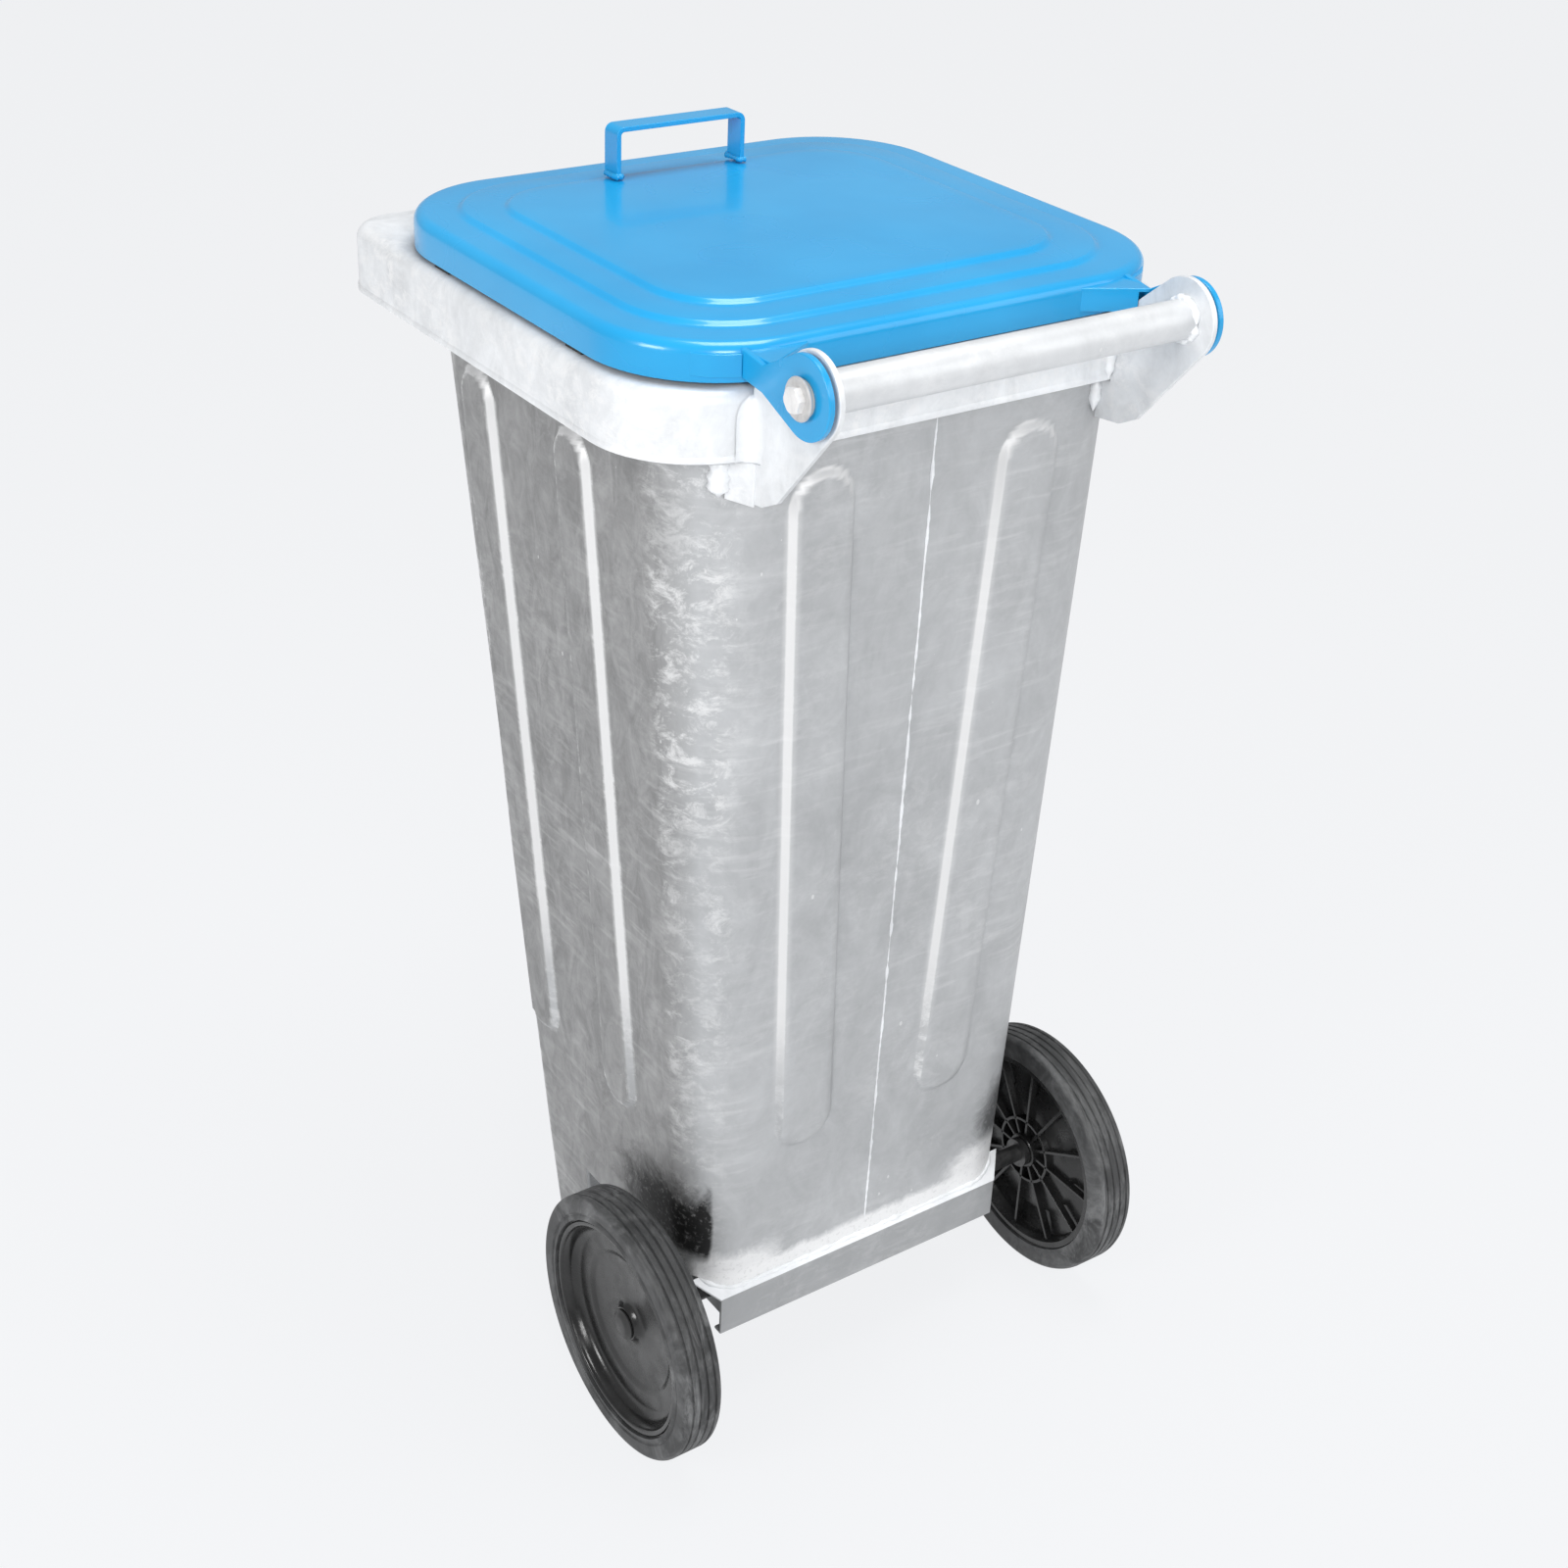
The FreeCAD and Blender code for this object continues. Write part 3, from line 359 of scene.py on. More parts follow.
# Stains and painted reflections: their frayed edges and the specks in them.
RAGGED = Clouds(30.0, 6.0, 0.75, 1.2)
SPECKS = Clouds(210.0, 4.0, 0.7)
SPECK_BAND = (0.54, 0.66)
SPECK_LEVEL = 0.5
SPECK_SHARE = 0.35
DULL_CLOUDS = Clouds(14.0, 4.0, 0.6)
BUMP_SHARE = 0.7


@dataclass(frozen=True)
class ZincFinish:
    """Hot-dip galvanised sheet: soft clouds, white scale, fine scratches and stains, with painted
    shade, painted highlights and painted reflections where asked for.
    """

    name: str
    level: float = 0.50
    contrast: float = 0.10
    scale: float = 0.35
    scale_zone: Optional[Pair] = None
    scratches: float = 0.12
    # Level of the painted shade on the left-facing walls, or 1.0 for none.
    side_shade_level: float = 1.0
    # Grey of the painted highlight along the pads' edges, or 0 for none.
    edge_highlight_level: float = 0.0
    metallic: float = 0.55
    roughness: float = 0.38
    ripple: float = 0.0007
    grey_patches: tuple[GreyPatch, ...] = ()

    def ground(self, graph: Graph) -> bpy.types.NodeSocket:
        """Give the sheet's ground colour: broad clouds with a finer mottle in them."""
        value: object = 0.0
        for clouds, weight in SHEET_CLOUDS:
            value = graph.join("ADD", value, graph.times(graph.noise(clouds), weight))
        greys = [grey(self.level * span, SHEET_WARMTH)
                 for span in (1.0 - self.contrast, 1.0 + self.contrast)]
        return graph.ramp(value, list(zip(SHEET_BAND, greys)))

    def painted_side_shade(self, graph: Graph, colour: bpy.types.NodeSocket) -> bpy.types.NodeSocket:
        """Paint shade on the faces that look to the left: a darker grey with streaks in it."""
        side = graph.spread(graph.axes(graph.facing)[0], *SIDE_FACING)
        greys = [grey(self.level * self.side_shade_level * span) for span in SIDE_SPAN]
        # dull is the darker, streaked grey of the painted side shade.
        dull = graph.ramp(graph.noise(SIDE_STREAKS), list(zip(SIDE_BAND, greys)))
        return graph.blend(side, colour, dull)

    def scaly(self, graph: Graph, colour: bpy.types.NodeSocket) -> tuple[bpy.types.NodeSocket, ...]:
        """Lay feathery white scale over a colour.

        Args:
            graph: the material's node tree.
            colour: the colour below.

        Returns:
            The new colour and the height of the scale.
        """
        feathers = graph.noise(FEATHERS)
        where = graph.banded(SCALE_PATCHES, PATCH_BAND)
        if self.scale_zone is not None:
            x = graph.axes(graph.facing)[0]
            low, high = self.scale_zone
            start, end = ZONE_FADES
            inside = graph.times(graph.spread(x, low, low + start),
                                 graph.spread(x, high, high + end, 1.0, ZONE_LEFT))
            inside = graph.times(inside, graph.spread(where, *ZONE_LIFT))
            where = graph.join("MAXIMUM", graph.times(where, OUTSIDE_ZONE), inside)
        share = graph.times(graph.times(graph.spread(feathers, *FEATHER_BAND), where), self.scale)
        return graph.blend(share, colour, SCALE_GREY), graph.times(feathers, where)

    def marked(self, graph: Graph, colour: bpy.types.NodeSocket) -> bpy.types.NodeSocket:
        """Lay fine scratches, white drops, the stains and the painted reflections over a colour."""
        share = graph.times(graph.banded(SCRATCH_LINES, LINE_BAND),
                            graph.banded(SCRATCHED_PARTS, SCRATCHED_BAND))
        colour = graph.blend(graph.times(share, self.scratches), colour, SCRATCH_GREY)
        drops = graph.node("TexVoronoi", Vector=graph.stretched(DROP_STRETCH),
                           Scale=DROPS_PER_METRE)
        size = graph.spread(graph.noise(DROP_CLOUDS), *DROP_SIZES)
        drop = graph.join("LESS_THAN", drops.outputs["Distance"], size)
        colour = graph.blend(graph.times(drop, DROP_SHARE), colour, DROP_GREY)
        if not self.grey_patches:
            return colour
        ragged = graph.noise(RAGGED)
        specks = graph.banded(SPECKS, SPECK_BAND)
        for grey_patch in self.grey_patches:
            share = graph.zone((grey_patch.across, grey_patch.along, grey_patch.height), ragged)
            speck = grey(mix(grey_patch.level, SPECK_LEVEL, SPECK_SHARE))
            spotted = graph.blend(specks, grey(grey_patch.level), speck)
            colour = graph.blend(graph.times(share, grey_patch.strength), colour, spotted)
        return colour

    def build(self) -> bpy.types.Material:
        """Make the material."""
        graph = Graph(self.name)
        colour = self.ground(graph)
        # Painted shade: the left-facing walls are darkened by their normal.
        if self.side_shade_level != 1.0:
            colour = self.painted_side_shade(graph, colour)
        colour, height = self.scaly(graph, colour)
        # Painted highlight: a pale grey blended in along the pads' edges by a point attribute.
        if self.edge_highlight_level > 0.0:
            painted_highlight = graph.node("Attribute", {"attribute_name": PAINTED_HIGHLIGHT})
            colour = graph.blend(painted_highlight.outputs["Fac"], colour, grey(self.edge_highlight_level))
        graph.paint("Base Color", self.marked(graph, colour))
        graph.paint("Metallic", self.metallic)
        graph.roughen(graph.noise(DULL_CLOUDS), self.roughness, 0.06, 0.08)
        graph.bump(height, self.ripple, BUMP_SHARE)
        return graph.material


@dataclass(frozen=True)
class LidPaintFinish:
    """Glossy blue powder coat with a fine orange peel and faint dust."""

    name: str = "lid_blue_paint"
    colour: Colour = (0.006, 0.300, 0.620, 1.0)
    faded: Colour = (0.016, 0.350, 0.690, 1.0)
    fading: Clouds = Clouds(6.0, 3.0)
    fading_band: Pair = (0.35, 0.7)
    dust: Clouds = Clouds(9.0, 3.0, 0.5, 0.6)
    roughness: float = 0.26
    gloss: float = 0.40
    coat: float = 0.35
    coat_roughness: float = 0.07
    peel: Clouds = Clouds(150.0, 2.0)
    peel_depth: float = 0.00010

    def build(self) -> bpy.types.Material:
        """Make the material."""
        graph = Graph(self.name)
        share = graph.banded(self.fading, self.fading_band)
        graph.paint("Base Color", graph.blend(share, self.colour, self.faded))
        graph.roughen(graph.noise(self.dust), self.roughness, 0.02, 0.03)
        graph.paint("Specular IOR Level", self.gloss)
        graph.paint("Coat Weight", self.coat)
        graph.paint("Coat Roughness", self.coat_roughness)
        graph.bump(graph.noise(self.peel), self.peel_depth, 0.06)
        return graph.material


@dataclass(frozen=True)
class RubberFinish:
    """Solid rubber: dark grey, scuffed pale along the tread and dusty in places."""

    name: str
    dark: float = 0.036
    scuffed: float = 0.230
    scuffs: Clouds = Clouds(1.0, 6.0, 0.75, 0.8, (110.0, 22.0, 22.0))
    scuff_band: Pair = (0.40, 0.70)
    dust: Clouds = Clouds(11.0, 5.0, 0.65, 1.0)
    dust_band: Pair = (0.38, 0.62)
    roughness: float = 0.55
    grain: Clouds = Clouds(420.0, 3.0)
    grain_depth: float = 0.0002

    def build(self) -> bpy.types.Material:
        """Make the material."""
        graph = Graph(self.name)
        dust = graph.noise(self.dust)
        worn = graph.times(graph.banded(self.scuffs, self.scuff_band),
                           graph.spread(dust, *self.dust_band))
        colours = (grey(self.dark, -0.02), grey(self.scuffed, -0.01))
        graph.paint("Base Color", graph.blend(worn, *colours))
        graph.roughen(dust, self.roughness, 0.10, 0.14)
        graph.bump(graph.noise(self.grain), self.grain_depth, 0.5)
        return graph.material


@dataclass(frozen=True)
class MouldedFinish:
    """Moulded plastic: one colour with a soft sheen, fine grain and a little dust."""

    name: str
    colour: Colour
    dusty: Colour
    dust: Clouds = Clouds(16.0, 5.0, 0.65, 0.7)
    dust_band: Pair = (0.42, 0.75)
    roughness: float = 0.38
    dull: Clouds = Clouds(55.0, 3.0)
    grain: Clouds = Clouds(700.0, 2.0)
    grain_depth: float = 0.00008

    def build(self) -> bpy.types.Material:
        """Make the material."""
        graph = Graph(self.name)
        share = graph.banded(self.dust, self.dust_band)
        graph.paint("Base Color", graph.blend(share, self.colour, self.dusty))
        graph.roughen(graph.noise(self.dull), self.roughness, 0.06, 0.12)
        graph.bump(graph.noise(self.grain), self.grain_depth, 0.6)
        return graph.material


@dataclass(frozen=True)
class SteelFinish:
    """Bare or zinc-plated turned steel with fine lines round the axis and dull spots."""

    name: str
    colour: Colour
    spotted: Colour
    spots: Clouds = Clouds(90.0, 5.0, 0.6, 0.6)
    spot_band: Pair = (0.45, 0.68)
    metallic: float = 0.85
    roughness: float = 0.34
    lines: Clouds = Clouds(1.0, 3.0, 0.5, 0.0, (1500.0, 30.0, 30.0))
    line_depth: float = 0.00005

    def build(self) -> bpy.types.Material:
        """Make the material."""
        graph = Graph(self.name)
        share = graph.banded(self.spots, self.spot_band)
        graph.paint("Base Color", graph.blend(share, self.colour, self.spotted))
        graph.paint("Metallic", self.metallic)
        lines = graph.noise(self.lines)
        graph.roughen(lines, self.roughness, 0.08, 0.12)
        graph.bump(lines, self.line_depth, 0.6)
        return graph.material


BODY_STAINS_AND_WHEEL_REFLECTIONS = (
    GreyPatch(None, upward(0.140, 0.150), downward(0.143, 0.160), 0.90, 0.92),
    GreyPatch(upward(0.070, 0.120), upward(0.135, 0.158), downward(0.156, 0.186), 0.90, 0.85),
    GreyPatch(downward(-0.118, -0.078), upward(0.145, 0.158), downward(0.158, 0.196), 0.90, 0.88),
    # Painted reflections of the wheels: dark patches low on the side walls beside each wheel.
    GreyPatch(upward(0.154, 0.159), upward(-0.010, 0.110), (0.158, 0.184, 0.205, 0.270), 0.01, 0.97),
    GreyPatch(downward(-0.152, -0.108), None, (0.168, 0.200, 0.208, 0.275), 0.04, 0.75),
)
# The body's zinc carries painted shade on its left-facing walls and a painted highlight along the
# pads' edges.
BODY_ZINC = ZincFinish("zinc_body_sheet", level=0.455, contrast=0.13, scale=0.58, scratches=0.22,
                       scale_zone=(0.30, 0.970), side_shade_level=0.62, edge_highlight_level=0.72,
                       metallic=0.32, roughness=0.46, ripple=0.0005, grey_patches=BODY_STAINS_AND_WHEEL_REFLECTIONS)
RIM_ZINC = ZincFinish("zinc_rim_sheet", level=0.77, contrast=0.16, scale=0.75, metallic=0.20,
                      roughness=0.45, ripple=0.0008)
BRACKET_ZINC = ZincFinish("zinc_bracket", level=0.74, contrast=0.16, scale=0.70, metallic=0.25,
                          roughness=0.42, ripple=0.0008)
FORMED_ZINC = ZincFinish("zinc_formed_sheet", level=0.37, contrast=0.08, scale=0.12,
                         metallic=0.3, roughness=0.45)
SEAM_ZINC = ZincFinish("zinc_seam", level=0.80, contrast=0.20, scale=0.4, metallic=0.2,
                       roughness=0.45)
TUBE_ZINC = ZincFinish("zinc_tube", level=0.63, contrast=0.09, scale=0.25, metallic=0.22,
                       roughness=0.42, ripple=0.0002)
WELD_ZINC = ZincFinish("zinc_weld", level=0.86, contrast=0.10, scale=0.6, metallic=0.15,
                       roughness=0.42, ripple=0.0005)
LID_PAINT = LidPaintFinish()
TYRE_RUBBER = RubberFinish("tyre_rubber")
BUFFER_RUBBER = RubberFinish("buffer_rubber", dark=0.012, scuffed=0.04)
WASHER_ZINC = SteelFinish("washer_zinc", grey(0.58, 0.01), grey(0.46, 0.01), metallic=0.3,
                          roughness=0.45)
BOLT_ZINC = SteelFinish("bolt_zinc", grey(0.84, 0.01), grey(0.72, 0.01), metallic=0.4,
                        roughness=0.42)
AXLE_STEEL = SteelFinish("axle_steel", grey(0.12), grey(0.05), roughness=0.42)
WHEEL_PLASTIC = MouldedFinish("wheel_plastic", grey(0.008), grey(0.024), roughness=0.22)
BLACK_PLASTIC = MouldedFinish("black_plastic", grey(0.015), grey(0.035))
NYLON = MouldedFinish("natural_nylon", (0.62, 0.59, 0.52, 1.0), (0.50, 0.47, 0.41, 1.0))


@cache
def material_of(finish: object) -> bpy.types.Material:
    """Give the finish's material, made at the first call."""
    return finish.build()


def dress(piece: bpy.types.Object, finish: object) -> None:
    """Put a finish on every face of a piece."""
    piece.data.materials.clear()
    piece.data.materials.append(material_of(finish))


def dress_node(name: str, finish: object) -> None:
    """Put a finish on a node of the frame that keeps its own shape."""
    dress(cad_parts[name], finish)
    log.info("node %s dressed with %s", name, finish.name)


# ---------------------------------------------------------------- meshes


@dataclass
class Skin:
    """Collects rings of points and the faces between them, and makes one smooth piece."""

    name: str
    points: list[Vector] = field(default_factory=list)
    faces: list[tuple[int, ...]] = field(default_factory=list)
    # Share of painted highlight at each point, stored as a point attribute.
    painted_highlight: list[float] = field(default_factory=list)

    def ring(self, points: Iterable[Vector]) -> list[int]:
        """Add points and give their numbers."""
        first = len(self.points)
        self.points.extend(Vector(point) for point in points)
        return list(range(first, len(self.points)))

    def bridge(self, first: Sequence[int], second: Sequence[int], closed: bool = True) -> None:
        """Join two rings of the same length with four-sided faces."""
        count = len(first)
        for number in range(count if closed else count - 1):
            after = (number + 1) % count
            self.faces.append((first[number], first[after], second[after], second[number]))

    def cap(self, ring: Sequence[int]) -> None:
        """Close a ring with a fan about its middle."""
        middle = sum((self.points[index] for index in ring), Vector()) / len(ring)
        centre = self.ring([middle])[0]
        for number, index in enumerate(ring):
            self.faces.append((index, ring[(number + 1) % len(ring)], centre))

    def loft(self, rings: Sequence[Sequence[Vector]], loop: bool = False,
             capped: bool = False) -> list[list[int]]:
        """Join a row of rings.

        Args:
            rings: closed rings of the same number of points.
            loop: whether the last ring joins the first one.
            capped: whether the first and last rings are closed.

        Returns:
            The rings' point numbers.
        """
        made = [self.ring(points) for points in rings]
        for first, second in zip(made, made[1:]):
            self.bridge(first, second)
        if loop:
            self.bridge(made[-1], made[0])
        if capped:
            self.cap(made[0])
            self.cap(made[-1])
        return made

    def turn(self, profile: Sequence[Pair], centre: Vector, side: int = 1, steps: int = 96,
             loop: bool = True) -> None:
        """Turn a profile of (x, radius) about an axis along X through a point."""
        rings = []
        for x, radius in profile:
            circle = arc((centre.y, centre.z), radius, 0.0, math.tau, steps)[:-1]
            rings.append([Vector((x * side, y, z)) for y, z in circle])
        self.loft(rings, loop=loop)

    def prism(self, outline: Sequence[Vector], along: Vector) -> None:
        """Sweep a flat closed outline straight along a vector."""
        low = self.ring(outline)
        high = self.ring([point + along for point in outline])
        self.bridge(low, high)
        self.faces.append(tuple(reversed(low)))
        self.faces.append(tuple(high))

    def build(self, finish: object, sharp: float = 40.0, bevel: float = 0.0,
              segments: int = 3) -> bpy.types.Object:
        """Make the object.

        Args:
            finish: the finish that covers it.
            sharp: edges that turn by more than this many degrees stay sharp.
            bevel: radius of rounded edges, or 0 for none.
            segments: steps across each rounded edge.

        Returns:
            The new object, in the scene.
        """
        mesh = bpy.data.meshes.new(self.name)
        mesh.from_pydata([tuple(point) for point in self.points], [], self.faces)
        shape = bmesh.new()
        shape.from_mesh(mesh)
        bmesh.ops.recalc_face_normals(shape, faces=shape.faces)
        shape.to_mesh(mesh)
        shape.free()
        # Point attribute with the share of painted highlight, read by the zinc material.
        if self.painted_highlight:
            mark = mesh.attributes.new(PAINTED_HIGHLIGHT, "FLOAT", "POINT")
            mark.data.foreach_set("value", self.painted_highlight)
        mesh.shade_smooth()
        piece = bpy.data.objects.new(self.name, mesh)
        bpy.context.scene.collection.objects.link(piece)
        if bevel > 0.0:
            rounding = piece.modifiers.new("rounded_edges", "BEVEL")
            rounding.width = bevel
            rounding.segments = segments
            rounding.limit_method = "ANGLE"
            rounding.angle_limit = BEVEL_ANGLE
            rounding.harden_normals = True
        mesh.set_sharp_from_angle(angle=math.radians(sharp))
        dress(piece, finish)
        return piece


def hand_over(piece: bpy.types.Object, rider: Rider, slot: str, *nodes: str) -> bpy.types.Object:
    """Let a piece ride on a body and hide the frame's nodes that it stands for."""
    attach(piece, rider.value)
    if nodes:
        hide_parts(*nodes)
    log.info("piece %s on %s, %d points", piece.name, rider.value, len(piece.data.vertices))
    return piece


@dataclass(frozen=True)
class Plan:
    """A rounded rectangle seen from above, from y = -front to y = rear."""

    half: float
    front: float
    rear: float
    front_corner: float
    rear_corner: float

    def inset(self, by: float, corner_by: Optional[float] = None) -> "Plan":
        """Give the plan moved in, with its corners reduced by the same or another length."""
        shrink = by if corner_by is None else corner_by
        return Plan(self.half - by, self.front - by, self.rear - by,
                    max(0.001, self.front_corner - shrink), max(0.001, self.rear_corner - shrink))

    def blend(self, other: "Plan", share: float) -> "Plan":
        """Give the plan at a share of the way to another one."""
        pairs = ((self.half, other.half), (self.front, other.front), (self.rear, other.rear),
                 (self.front_corner, other.front_corner), (self.rear_corner, other.rear_corner))
        return Plan(*(mix(low, high, share) for low, high in pairs))

    def scaled(self, share: float) -> "Plan":
        """Give the plan shrunk about its own middle."""
        middle = (self.rear - self.front) / 2
        depth = (self.rear + self.front) / 2 * share
        return Plan(self.half * share, depth - middle, depth + middle,
                    self.front_corner * share, self.rear_corner * share)

    def path(self, height: float, corner_steps: int = 14, side_steps: int = 8) -> list[Vector]:
        """Give the ring of points, the same number for any plan.

        Args:
            height: z of the ring.
            corner_steps: steps round each corner.
            side_steps: steps along each straight side.

        Returns:
            Points anticlockwise from the left side's front end.
        """
        corners = ((1, 1, self.rear_corner, 0.0), (-1, 1, self.rear_corner, 90.0),
                   (-1, -1, self.front_corner, 180.0), (1, -1, self.front_corner, 270.0))
        arcs = []
        for across, along, radius, start in corners:
            reach = self.rear if along > 0 else self.front
            centre = (across * (self.half - radius), along * (reach - radius))
            turned = math.radians(start)
            arcs.append([Vector((x, y, height)) for x, y in arc(
                centre, radius, turned, turned + QUARTER, corner_steps)])
        points: list[Vector] = []
        for bend, following in zip(arcs, arcs[1:] + arcs[:1]):
            points.extend(bend)
            for step in range(1, side_steps):
                points.append(bend[-1].lerp(following[0], step / side_steps))
        return points


@dataclass
class WeldBead:
    """A weld: a rippled bead along a path, uneven in width."""

    name: str
    path: Sequence[Point]
    radius: float = 0.0028
    pitch: float = 0.004
    uneven: float = 0.35
    seed: float = 0.0
    sides: int = 10
    ripple: float = 0.16
    lumps_per_metre: float = 90.0
    end_share: float = 0.12
    end_rings: float = 2.5
    slant: Point = (0.31, 0.52, 0.79)

    def stations(self) -> list[tuple[Vector, Vector]]:
        """Give the places of the bead's rings, with the path's direction at each."""
        corners = [Vector(point) for point in self.path]
        made: list[tuple[Vector, Vector]] = []
        for start, end in zip(corners, corners[1:]):
            steps = max(2, round((end - start).length / (self.pitch / 3)))
            direction = (end - start).normalized()
            made += [(start.lerp(end, step / steps), direction) for step in range(steps)]
        return made + [(corners[-1], (corners[-1] - corners[-2]).normalized())]

    def build(self, finish: object = WELD_ZINC) -> bpy.types.Object:
        """Make the bead.

        Args:
            finish: the finish that covers it.

        Returns:
            The new object.
        """
        stations = self.stations()
        offset = Vector((self.seed, 0.0, 0.0))
        rings = []
        travelled = 0.0
        before = stations[0][0]
        for number, (place, direction) in enumerate(stations):
            travelled += (place - before).length
            before = place
            ripple = self.ripple * math.cos(math.tau * travelled / self.pitch)
            wander = self.uneven * noise.noise(place * self.lumps_per_metre + offset)
            taper = smooth_step(min(number, len(stations) - 1 - number) / self.end_rings)
            size = self.radius * (1.0 + ripple + wander) * mix(self.end_share, 1.0, taper)
            across = direction.cross(Vector(self.slant)).normalized()
            upright = direction.cross(across)
            circle = arc((0.0, 0.0), size, 0.0, math.tau, self.sides)[:-1]
            rings.append([place + across * aside + upright * up for aside, up in circle])
        skin = Skin(self.name)
        skin.loft(rings, capped=True)
        return skin.build(finish, sharp=70.0)


# ---------------------------------------------------------------- body


@dataclass
class BodySheet:
    """The tapered body of galvanised sheet with two long embossed pads on each wall."""

    bottom: float = 0.146
    top: float = 0.976
    wall: float = 0.002
    base: Plan = Plan(0.173, 0.112, 0.167, 0.024, 0.045)
    mouth: Plan = Plan(0.214, 0.225, 0.183, 0.056, 0.080)
    pad_foot: float = 0.301
    pad_top: float = 0.873
    pad_height: float = 0.0056
    pad_edge: float = 0.0060
    pad_round: float = 0.35
    # Painted highlight on the pads' edges: the heights where it fades in, and the weight of edges
    # that fall upward.
    highlight_fade_heights: Pair = (0.315, 0.430)
    highlight_up_weight: float = 1.3
    ledge_back: float = 0.150
    ledge_high: float = 0.1459
    ledge_fall: float = 0.668
    end_pads: Point = (0.074, 0.096, 0.027)
    front_pads: Point = (-0.087, -0.128, 0.023)
    rear_pads: Point = (0.047, 0.020, 0.023)
    corner_steps: int = 14
    seam_x: float = -0.004
    seam_top: float = 0.925
    seam_steps: int = 40
    seam_sway: float = 0.0014

    def share(self, height: float) -> float:
        """Give how far up the body a height is, from 0 to 1."""
        return (height - self.bottom) / (self.top - self.bottom)

    def plan(self, height: float, inset: float = 0.0) -> Plan:
        """Give the body's plan at a height."""
        return self.base.blend(self.mouth, self.share(height)).inset(inset)

    def heights(self) -> list[float]:
        """Give the levels of the rings, close together where the pads end."""
        reach = max(self.end_pads[2], self.front_pads[2]) + self.pad_edge
        levels = [mix(self.bottom, self.pad_foot - reach, step / 6) for step in range(6)]
        zones = ((self.pad_foot - reach, self.pad_foot, 17), (self.pad_foot, self.pad_top, 26),
                 (self.pad_top, self.pad_top + reach, 17))
        for low, high, steps in zones:
            levels += [mix(low, high, step / steps) for step in range(steps)]
        last = self.pad_top + reach
        return levels + [mix(last, self.top, step / 4) for step in range(5)]

    def stations(self, pads: Sequence[Point]) -> list[Pair]:
        """Give the columns on one wall as places at the pads' foot and top.

        Args:
            pads: each pad's centre at the foot, centre at the top, and half width.

        Returns:
            Pairs of places along the wall, from low to high.
        """
        columns = []
        for foot, head, half in sorted(pads):
            inner, outer = half - self.pad_edge / 2, half + self.pad_edge / 2
            offsets = [outer * 1.12]
            offsets += [mix(outer, inner, step / 6) for step in range(7)]
            offsets += [inner * share for share in (0.8, 0.55, 0.28)]
            full = offsets + [0.0] + [-offset for offset in reversed(offsets)]
            columns += [(foot - offset, head - offset) for offset in full]
        return columns

    def lift(self, place: float, height: float, pads: Sequence[Point]) -> float:
        """Give how far a point of a wall is raised by its pads."""
        raised = 0.0
        for foot, head, half in pads:
            start, end = Vector((foot, self.pad_foot)), Vector((head, self.pad_top))
            run = end - start
            share = min(1.0, max(0.0, (Vector((place, height)) - start).dot(run)
                                 / run.length_squared))
            gap = (Vector((place, height)) - start - run * share).length
            share = min(1.0, max(0.0, (half + self.pad_edge / 2 - gap) / self.pad_edge))
            raised = max(raised, mix(share, smooth_step(share), self.pad_round))
        return raised * self.pad_height

    def painted_highlight(self, place: float, height: float, pads: Sequence[Point]) -> float:
        """Give how much painted highlight a point on a pad's edge gets, from 0 to 1.

        Args:
            place: the point's x or y, along the wall.
            height: z of the point.
            pads: the wall's pads.

        Returns:
            The share, which is above 0 on edges that fall towards +x, +y or +z.
        """
        reach = 0.0004
        steepest = 2 * reach * self.pad_height / self.pad_edge
        aside = self.lift(place - reach, height, pads) - self.lift(place + reach, height, pads)
        up = self.lift(place, height - reach, pads) - self.lift(place, height + reach, pads)
        low, high = self.highlight_fade_heights
        # thick is the share of painted highlight on edges that fall towards +x, +y or +z, not
        # thicker zinc.
        thick = smooth_step(max(aside, up * self.highlight_up_weight) / steepest)
        return thick * smooth_step((height - low) / (high - low))

    def foot_height(self, along: float) -> float:
        """Give the height of the sheet's lower edge, which meets the sloping ledge behind."""
        return min(self.bottom, self.ledge_high - (along - self.ledge_back) * self.ledge_fall)

    def ring(self, height: float, inset: float) -> tuple[list[Vector], list[float]]:
        """Give one ring of the body, pads included, and the share of painted highlight at each
        point.
        """
        plan = self.plan(height, inset)
        share = (height - self.pad_foot) / (self.pad_top - self.pad_foot)
        foot, head, half = self.end_pads
        wall_pads = (((-foot, -head, half), self.end_pads), (self.front_pads, self.rear_pads)) * 2
        outs = (Vector((0, 1, 0)), Vector((-1, 0, 0)), Vector((0, -1, 0)), Vector((1, 0, 0)))
        reaches = (plan.rear, plan.half, plan.front, plan.half)
        corners = (plan.rear_corner, plan.front_corner, plan.front_corner, plan.rear_corner)
        points: list[Vector] = []
        painted_highlights: list[float] = []
        for number, (out, pads) in enumerate(zip(outs, wall_pads)):
            after = (number + 1) % len(outs)
            along, sign = outs[after], outs[after].x + outs[after].y
            low = corners[number - 1] - reaches[number - 1]
            high = reaches[after] - corners[number]
            places = sorted(mix(*column, share) * sign for column in self.stations(pads))
            for place in [low] + places + [high]:
                held = min(high, max(low, place))
                raised = self.lift(place * sign, height, pads)
                points.append(along * held + out * (reaches[number] + raised))
                painted_highlights.append(self.painted_highlight(place * sign, height, pads))
            centre = along * high + out * (reaches[number] - corners[number])
            for step in range(1, self.corner_steps):
                angle = QUARTER * step / self.corner_steps
                turned = out * math.cos(angle) + along * math.sin(angle)
                points.append(centre + turned * corners[number])
                painted_highlights.append(0.0)
        for point in points:
            point.z = height if height > self.bottom else self.foot_height(point.y)
        return points, painted_highlights

